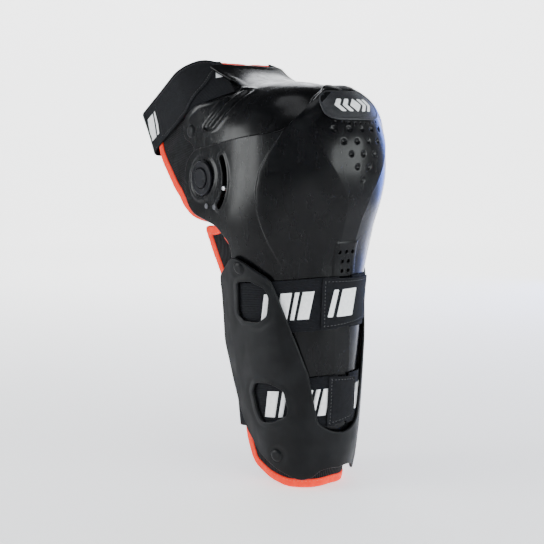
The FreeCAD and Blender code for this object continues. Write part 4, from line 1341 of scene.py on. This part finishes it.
class Strap:
    """Path of an elastic strap: up both sides of a form and straight across behind.

    inner: lift of its inner face.  back, corner: depth where it crosses behind, and its
    corner radius there.  edge: height of its lower edge by depth.  front_angle: where its
    ends lie, in degrees from straight forwards."""

    SIDE, CORNER = 0.66, 0.14      # shares of each half of the loop
    FIRST, LAST = 0.35, 2.6        # where round the form its side may end, radians
    COUNT = 801                    # of the known places along it
    STEP, ROW = 1.6, 4             # of its mesh: along it and across it

    def __init__(self, chart, inner, back, corner, edge, front_angle):
        self.chart, self.form, self.inner = chart, chart.form, inner
        self.back, self.corner, self.edge = back, corner, edge
        self.front = math.radians(front_angle)
        self.shares = np.linspace(-1, 1, self.COUNT)
        self.run = run_along(self.place(self.shares, STRAP_WIDTH / 2, inner + STRAP))

    def place(self, share, rise, offset):
        """Points in the form's frame: share runs from -1 to 1 round the loop, rise up the
        width of the strap, and offset is the lift above the form."""
        share, rise, offset = matched(share, rise, offset)
        half = np.abs(share)
        last = self.edge(self.back + self.corner) + rise
        _, end = halved(np.full(half.shape, self.FIRST), np.full(half.shape, self.LAST),
                        lambda angle: (-self.form(angle, last, self.inner)[..., 1]
                                       > self.back + self.corner), 30)
        angle = self.front + (end - self.front) * np.clip((1 - half) / self.SIDE, 0, 1)
        station = last
        for _ in range(4):
            station = self.edge(-self.form(angle, station, self.inner)[..., 1]) + rise
        spot = self.form(angle, station, offset)
        extra = offset - self.inner
        turn = np.clip((1 - self.SIDE - half) / self.CORNER, 0, 1) * math.pi / 2
        x = (self.form(end, last, self.inner)[..., 0] - self.corner
             + (self.corner + extra) * np.cos(turn))
        x = x * np.clip(half / (1 - self.SIDE - self.CORNER), 0, 1)
        depth = self.back + self.corner - (self.corner + extra) * np.sin(turn)
        behind = np.stack((x, -depth, self.edge(depth) + rise), -1)
        spot = np.where((half >= 1 - self.SIDE)[..., None], spot, behind)
        return spot * np.where(share[..., None] < 0, (-1, 1, 1), (1, 1, 1))

    def share_at(self, run):
        return np.interp(run, self.run, self.shares)

    def band(self, name, start, end, low, high, outer, inner, body, slant=0.0):
        """A rounded ribbon of the strap, from run start to run end; its edges wave a little."""
        count = max(3, int((end - start) / self.STEP) + 1)
        run = np.linspace(start, end, count)
        thick = outer - inner
        nose = min(thick / 2, 0.7)
        across = np.linspace(low + nose, high - nose, max(3, int((high - low) / self.ROW)))
        turns = np.radians(np.linspace(90, -90, 5)[1:-1])
        reach = nose * np.cos(turns)
        edge = (outer + inner) / 2 + thick / 2 * np.sin(turns)
        section = np.vstack([np.column_stack(np.broadcast_arrays(*columns)) for columns in (
            (across[::-1], outer), (low + nose - reach, edge), (across, inner),
            (high - nose + reach[::-1], edge[::-1]))])
        rise = np.broadcast_to(section[:, 0], (count, len(section)))
        shifted = run[:, None] + slant * (rise - low)
        curl = STRAP_WAVE * (0.5 * np.sin(shifted / 13.0) + 0.5 * np.sin(shifted / 29.0 + 1.0))
        curl = curl * (np.abs(rise - STRAP_WIDTH / 2) / (STRAP_WIDTH / 2)) ** 2
        offset = np.broadcast_to(section[:, 1], rise.shape) + curl
        points = self.place(self.share_at(shifted), rise, offset).reshape(-1, 3)
        size = len(section)
        faces = []
        for i in range(count - 1):
            faces += np.roll(bridge((i + 1) * size, i * size, size), 1, 1).tolist()
        faces += [range(size), range(count * size - 1, (count - 1) * size - 1, -1)]
        charted = np.stack((shifted, rise, offset), -1).reshape(-1, 3)
        return shown(name, self.chart.out(points), faces, body, chart_points=charted)


# the lower edge of each strap: height by depth
def upper_edge(depth):
    return -141.0 - 0.12 * (112.0 - depth)


def lower_edge(depth):
    return -236.0 - 0.13 * (CALF_FRONT - depth)


def thigh_edge(depth):
    return 74.0 + 0.09 * np.maximum(0.0, 20.0 - depth) - 0.30 * np.maximum(0.0, depth - 12.0)


upper = Strap(shin_chart, STRAP_GAP, 0.5, 9.0, upper_edge, 6.0)
lower = Strap(shin_chart, STRAP_GAP, 8.5, 9.0, lower_edge, 6.0)
rear = Strap(thigh_chart, -THIGH_STRAP_GAP - STRAP, -80.0, 12.0, thigh_edge, 41.0)
for name, path, body in (("calf_strap_upper", upper, SHIN), ("calf_strap_lower", lower, SHIN),
                         ("thigh_strap", rear, THIGH)):
    band = path.band(name + "_band", 0, path.run[-1], 0, STRAP_WIDTH, path.inner + STRAP,
                     path.inner, body)
    finished(band, elastic, "strap", name)


def printed(name, path, runs, body, low=12.0, high=38.0):
    """Slanted blocks printed in white on both halves of a strap, as (first, last) run."""
    blocks = [(start, end, SLANT) for start, end in runs]
    blocks += [(path.run[-1] - end, path.run[-1] - start, -SLANT) for start, end in runs]
    for k, (start, end, slant) in enumerate(blocks):
        top = path.inner + STRAP
        block = path.band("%s_print_%d" % (name, k + 1), start, end, low, high, top + PRINT,
                          top - PRINT_SUNK, body, slant)
        finished(block, ink, "strap")


printed("calf_strap_upper", upper, [(30, 41), (44, 48), (51, 62), (72, 79)], SHIN)
printed("calf_strap_lower", lower, [(12, 20), (23, 27), (30, 41), (55, 60), (64, 77)], SHIN)
printed("thigh_strap", rear, [(98, 108), (111, 115), (118, 130)], THIGH)
printed("thigh_strap_end", rear, [(4, 12)], THIGH, 27.0, 41.0)


# ---- strap tabs ---------------------------------------------------------------------------
THIGH_TAB_OUTLINE = [(-50, 80, 6), (-47, 128, 8), (30, 123, 10), (38, 112, 8), (33, 88, 12),
                     (5, 76, 20), (-20, 77, 20)]
TAB_SEAM = 3.2             # how far in from the edge a tab is sewn
TAB_MARGIN = 0.2           # of a calf tab, inside the strap's edges
CALF_TAB_BASE = STRAP_GAP + STRAP + TAB_PLAY
TAB_PRINT = 0.14
TAB_PRINT_MIDDLE, TAB_PRINT_HALF, TAB_PRINT_LEAN = -116.0, 13, 3


def tab(name, chart, loop, base, body):
    """Doubled end of a strap with a raised border, sewn along it."""
    border, top = Near(loop), base + STRAP

    def face(s, v):
        edge = border(s, v)
        return top - 0.28 * hill(edge - TAB_SEAM, 1.6) + 0.10 * hill(edge - 1.2, 1.6)

    piece = plate(name + "_body", chart, [loop], face, base, body, edge=0.6, spacing=1.4,
                  back_spacing=3.0)
    finished(piece, tab_cloth, "strap_tab", name)
    seam = resampled(inset(chart, loop, TAB_SEAM), OUTLINE_STEP)
    stitches(name + "_stitches", chart, seam, top - 0.38, body, thread_black, "strap_tab",
             pitch=3.4, length=2.3)


def calf_tab(name, edge, left, right):
    low = edge(CALF_FRONT) + TAB_MARGIN
    high = low + STRAP_WIDTH - 2 * TAB_MARGIN
    outline = [(left, low, 2), (left, high, 2), (right, high - 3, 5), (right, low + 5, 5)]
    loop = front_loop(shin_chart, outline, CALF_TAB_BASE)
    tab(name, shin_chart, loop, CALF_TAB_BASE, SHIN)


calf_tab("calf_tab_upper", upper_edge, -25.0, 44.0)
calf_tab("calf_tab_lower", lower_edge, -17.0, 17.0)
thigh_tab_loop = side_loops(thigh_chart, rounded(THIGH_TAB_OUTLINE), -THIGH_STRAP_GAP)[1]
tab("thigh_tab", thigh_chart, thigh_tab_loop, -THIGH_STRAP_GAP + 0.05, THIGH)

# slanted blocks printed on the upper tab
tab_top = CALF_TAB_BASE + STRAP
low, high = TAB_PRINT_MIDDLE - TAB_PRINT_HALF, TAB_PRINT_MIDDLE + TAB_PRINT_HALF
for k, (left, right) in enumerate(((-17, -12), (-8, 11))):
    outline = [(left - TAB_PRINT_LEAN, low, 0.6), (right - TAB_PRINT_LEAN, low, 0.6),
               (right + TAB_PRINT_LEAN, high, 0.6), (left + TAB_PRINT_LEAN, high, 0.6)]
    mark = plate("calf_tab_upper_print_%d" % (k + 1), shin_chart,
                 [front_loop(shin_chart, outline, tab_top)], tab_top + TAB_PRINT,
                 tab_top - PRINT_SUNK, SHIN, edge=0.08, spacing=1.2, back_spacing=3.0)
    finished(mark, ink, "strap_tab")


# ---- hardware -----------------------------------------------------------------------------
def surfaced(node, material):
    """Gives a CAD node that is shown as it is its procedural material."""
    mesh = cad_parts[node].data
    mesh.materials.clear()
    mesh.materials.append(material)


nylon = plastic("spacer_nylon", (0.030, 0.030, 0.032), (0.045, 0.045, 0.047), (0.45, 0.6),
                0.4, 0.01)
for side in ("left", "right"):
    surfaced("hinge_plate_" + side, hard_black)
    surfaced("hinge_cap_" + side, hard_black)
    surfaced("hinge_pin_" + side, bright_steel)
    surfaced("hinge_washer_" + side, nylon)
    surfaced("stop_pin_" + side, bright_steel)
surfaced("ear_screws", dark_steel)
for name in ("knee_rivets", "toe_rivets", "thigh_rivets"):
    surfaced(name, satin)
surfaced("rivet_spacers", nylon)
for name in ("shin_liner_patches", "thigh_liner_patches"):
    surfaced(name, hooks)


# ---- floor, lights and camera --------------------------------------------------------------
STRIP_AWAY = 140.0         # direction of the glowing strip, degrees from the front
# how brightly the paper glows, and the millimetres over which that changes
STRIP_SPREAD, STRIP_EDGE, STRIP_TOP = 0.30, (290.0, 600.0), (900.0, 1500.0)
STRIP_GLOW, STRIP_BRIGHTENS = (0.9, 2.7), (-200.0, 1800.0)
FOOT_GLOW, FOOT_EDGE = 0.7, (500.0, 1000.0)
PAPER = 0.84, 0.88         # darkest and lightest white of the floor
FLOOR_RADIUS, FLOOR_CORNER, FLOOR_HEIGHT = 2.6, 0.9, 3.0       # metres, like all that follows
FLOOR_DROP = 0.0005        # under the guard's foot
MIDDLE = Vector((0.0, -0.04, -0.09))
TARGET = Vector((0.0, -0.045, -0.090))
CAMERA_AZIMUTH, CAMERA_ELEVATION, CAMERA_DISTANCE = -40.0, 7.0, 1.030
CAMERA_ANGLE, CAMERA_SHIFT = 29.5, (-0.0472, -0.0075)


def bowl(radius, corner, height):
    """Pale floor that curves up all round."""
    profile = [(0.0, 0.0), (radius * 0.5, 0.0), (radius, 0.0)]
    profile += [(radius + corner * math.sin(t), corner * (1 - math.cos(t)))
                for t in np.linspace(0.1, math.pi / 2, 12)]
    profile.append((radius + corner, height))
    count = 96
    turn = np.linspace(0, 2 * math.pi, count, endpoint=False)
    points = [(r * math.cos(t), r * math.sin(t), z) for r, z in profile for t in turn]
    mesh = bpy.data.meshes.new("floor")
    mesh.from_pydata(points, [], tube_faces(len(profile), count))
    mesh.shade_smooth()
    floor = linked("floor", mesh)
    return floor


def glowing_paper():
    """White paper that glows round the guard's foot and in a broad strip running away behind it:
    painted light standing in for lamps on the floor.
    """
    look = Look("floor_paper_glow", Roughness=0.9)
    look.colour(look.between(look.noise(400, 2), *((white,) * 3 for white in PAPER)))
    away = math.radians(STRIP_AWAY)

    def measured(*direction):
        return look.node("VectorMath", {0: look.space, 1: direction}, "Value",
                         operation="DOT_PRODUCT")

    # millimetres out along the strip, aside from it and up
    along = measured(math.sin(away), -math.cos(away), 0.0)
    aside = look.figured("ABSOLUTE", measured(math.cos(away), math.sin(away), 0.0), 0.0)
    beyond = look.figured("SUBTRACT", aside, look.figured("MULTIPLY", along, STRIP_SPREAD))
    strip = look.between(beyond, 1.0, 0.0, *STRIP_EDGE)
    low = look.between(measured(0.0, 0.0, 1.0), 1.0, 0.0, *STRIP_TOP)
    far = look.figured("MULTIPLY", look.between(along, *STRIP_GLOW, *STRIP_BRIGHTENS), low)
    out = look.node("VectorMath", {0: look.space}, "Value", operation="LENGTH")
    foot = look.between(out, FOOT_GLOW, 0.0, *FOOT_EDGE)
    total = look.figured("MAXIMUM", look.figured("MULTIPLY", strip, far), foot)
    # painted light: the emission makes the paper glow round the foot and along the strip
    look.shader.inputs["Emission Color"].default_value = (1, 1, 1, 1)
    look.tree.links.new(total, look.shader.inputs["Emission Strength"])
    return look.material


def towards(azimuth, elevation, distance):
    """Way out from the guard: azimuth 0 is straight ahead of it, 90 the wearer's left."""
    azimuth, elevation = math.radians(azimuth), math.radians(elevation)
    level = distance * math.cos(elevation)
    return Vector((level * math.sin(azimuth), -level * math.cos(azimuth),
                   distance * math.sin(elevation)))


def softbox(name, place, aim, size, power, colour):
    light = bpy.data.lights.new(name, "AREA")
    light.shape = "RECTANGLE"
    light.size, light.size_y = size
    light.energy = power
    light.color = colour
    lamp = linked(name, light)
    lamp.location = place
    lamp.rotation_euler = (aim - place).to_track_quat("-Z", "Y").to_euler()


floor = bowl(FLOOR_RADIUS, FLOOR_CORNER, FLOOR_HEIGHT)
floor.location.z = cad_box[0][2] - FLOOR_DROP
floor.data.materials.append(glowing_paper())

# name, azimuth, elevation and distance, width and height, watts, colour
for name, direction, size, power, colour in (
        ("side", (-118, 4, 1.7), (0.75, 1.2), 34, (0.97, 1.0, 1.0)),
        ("front", (14, 5, 2.0), (2.0, 1.0), 66, (0.93, 0.98, 0.98)),
        ("rim", (106, -1, 1.6), (0.5, 1.3), 17, (0.12, 0.24, 1.0)),
        ("top", (-60, 72, 1.7), (1.0, 0.8), 8, (0.94, 0.96, 1.0)),
        ("back", (150, 32, 1.8), (0.9, 0.7), 8, (0.94, 0.96, 1.0))):
    softbox(name, MIDDLE + towards(*direction), MIDDLE, size, power, colour)

world = bpy.data.worlds.new("studio")
world.use_nodes = True
background = world.node_tree.nodes["Background"]
background.inputs["Color"].default_value = (0.95, 0.97, 1.0, 1)
background.inputs["Strength"].default_value = 0.15
bpy.context.scene.world = world

camera_data = bpy.data.cameras.new("camera")
camera_data.angle = math.radians(CAMERA_ANGLE)
camera_data.shift_x, camera_data.shift_y = CAMERA_SHIFT
camera = linked("camera", camera_data)
back = towards(CAMERA_AZIMUTH, CAMERA_ELEVATION, 1.0)
camera.location = TARGET + CAMERA_DISTANCE * back
camera.rotation_euler = (-back).to_track_quat("-Z", "Y").to_euler()
bpy.context.scene.camera = camera
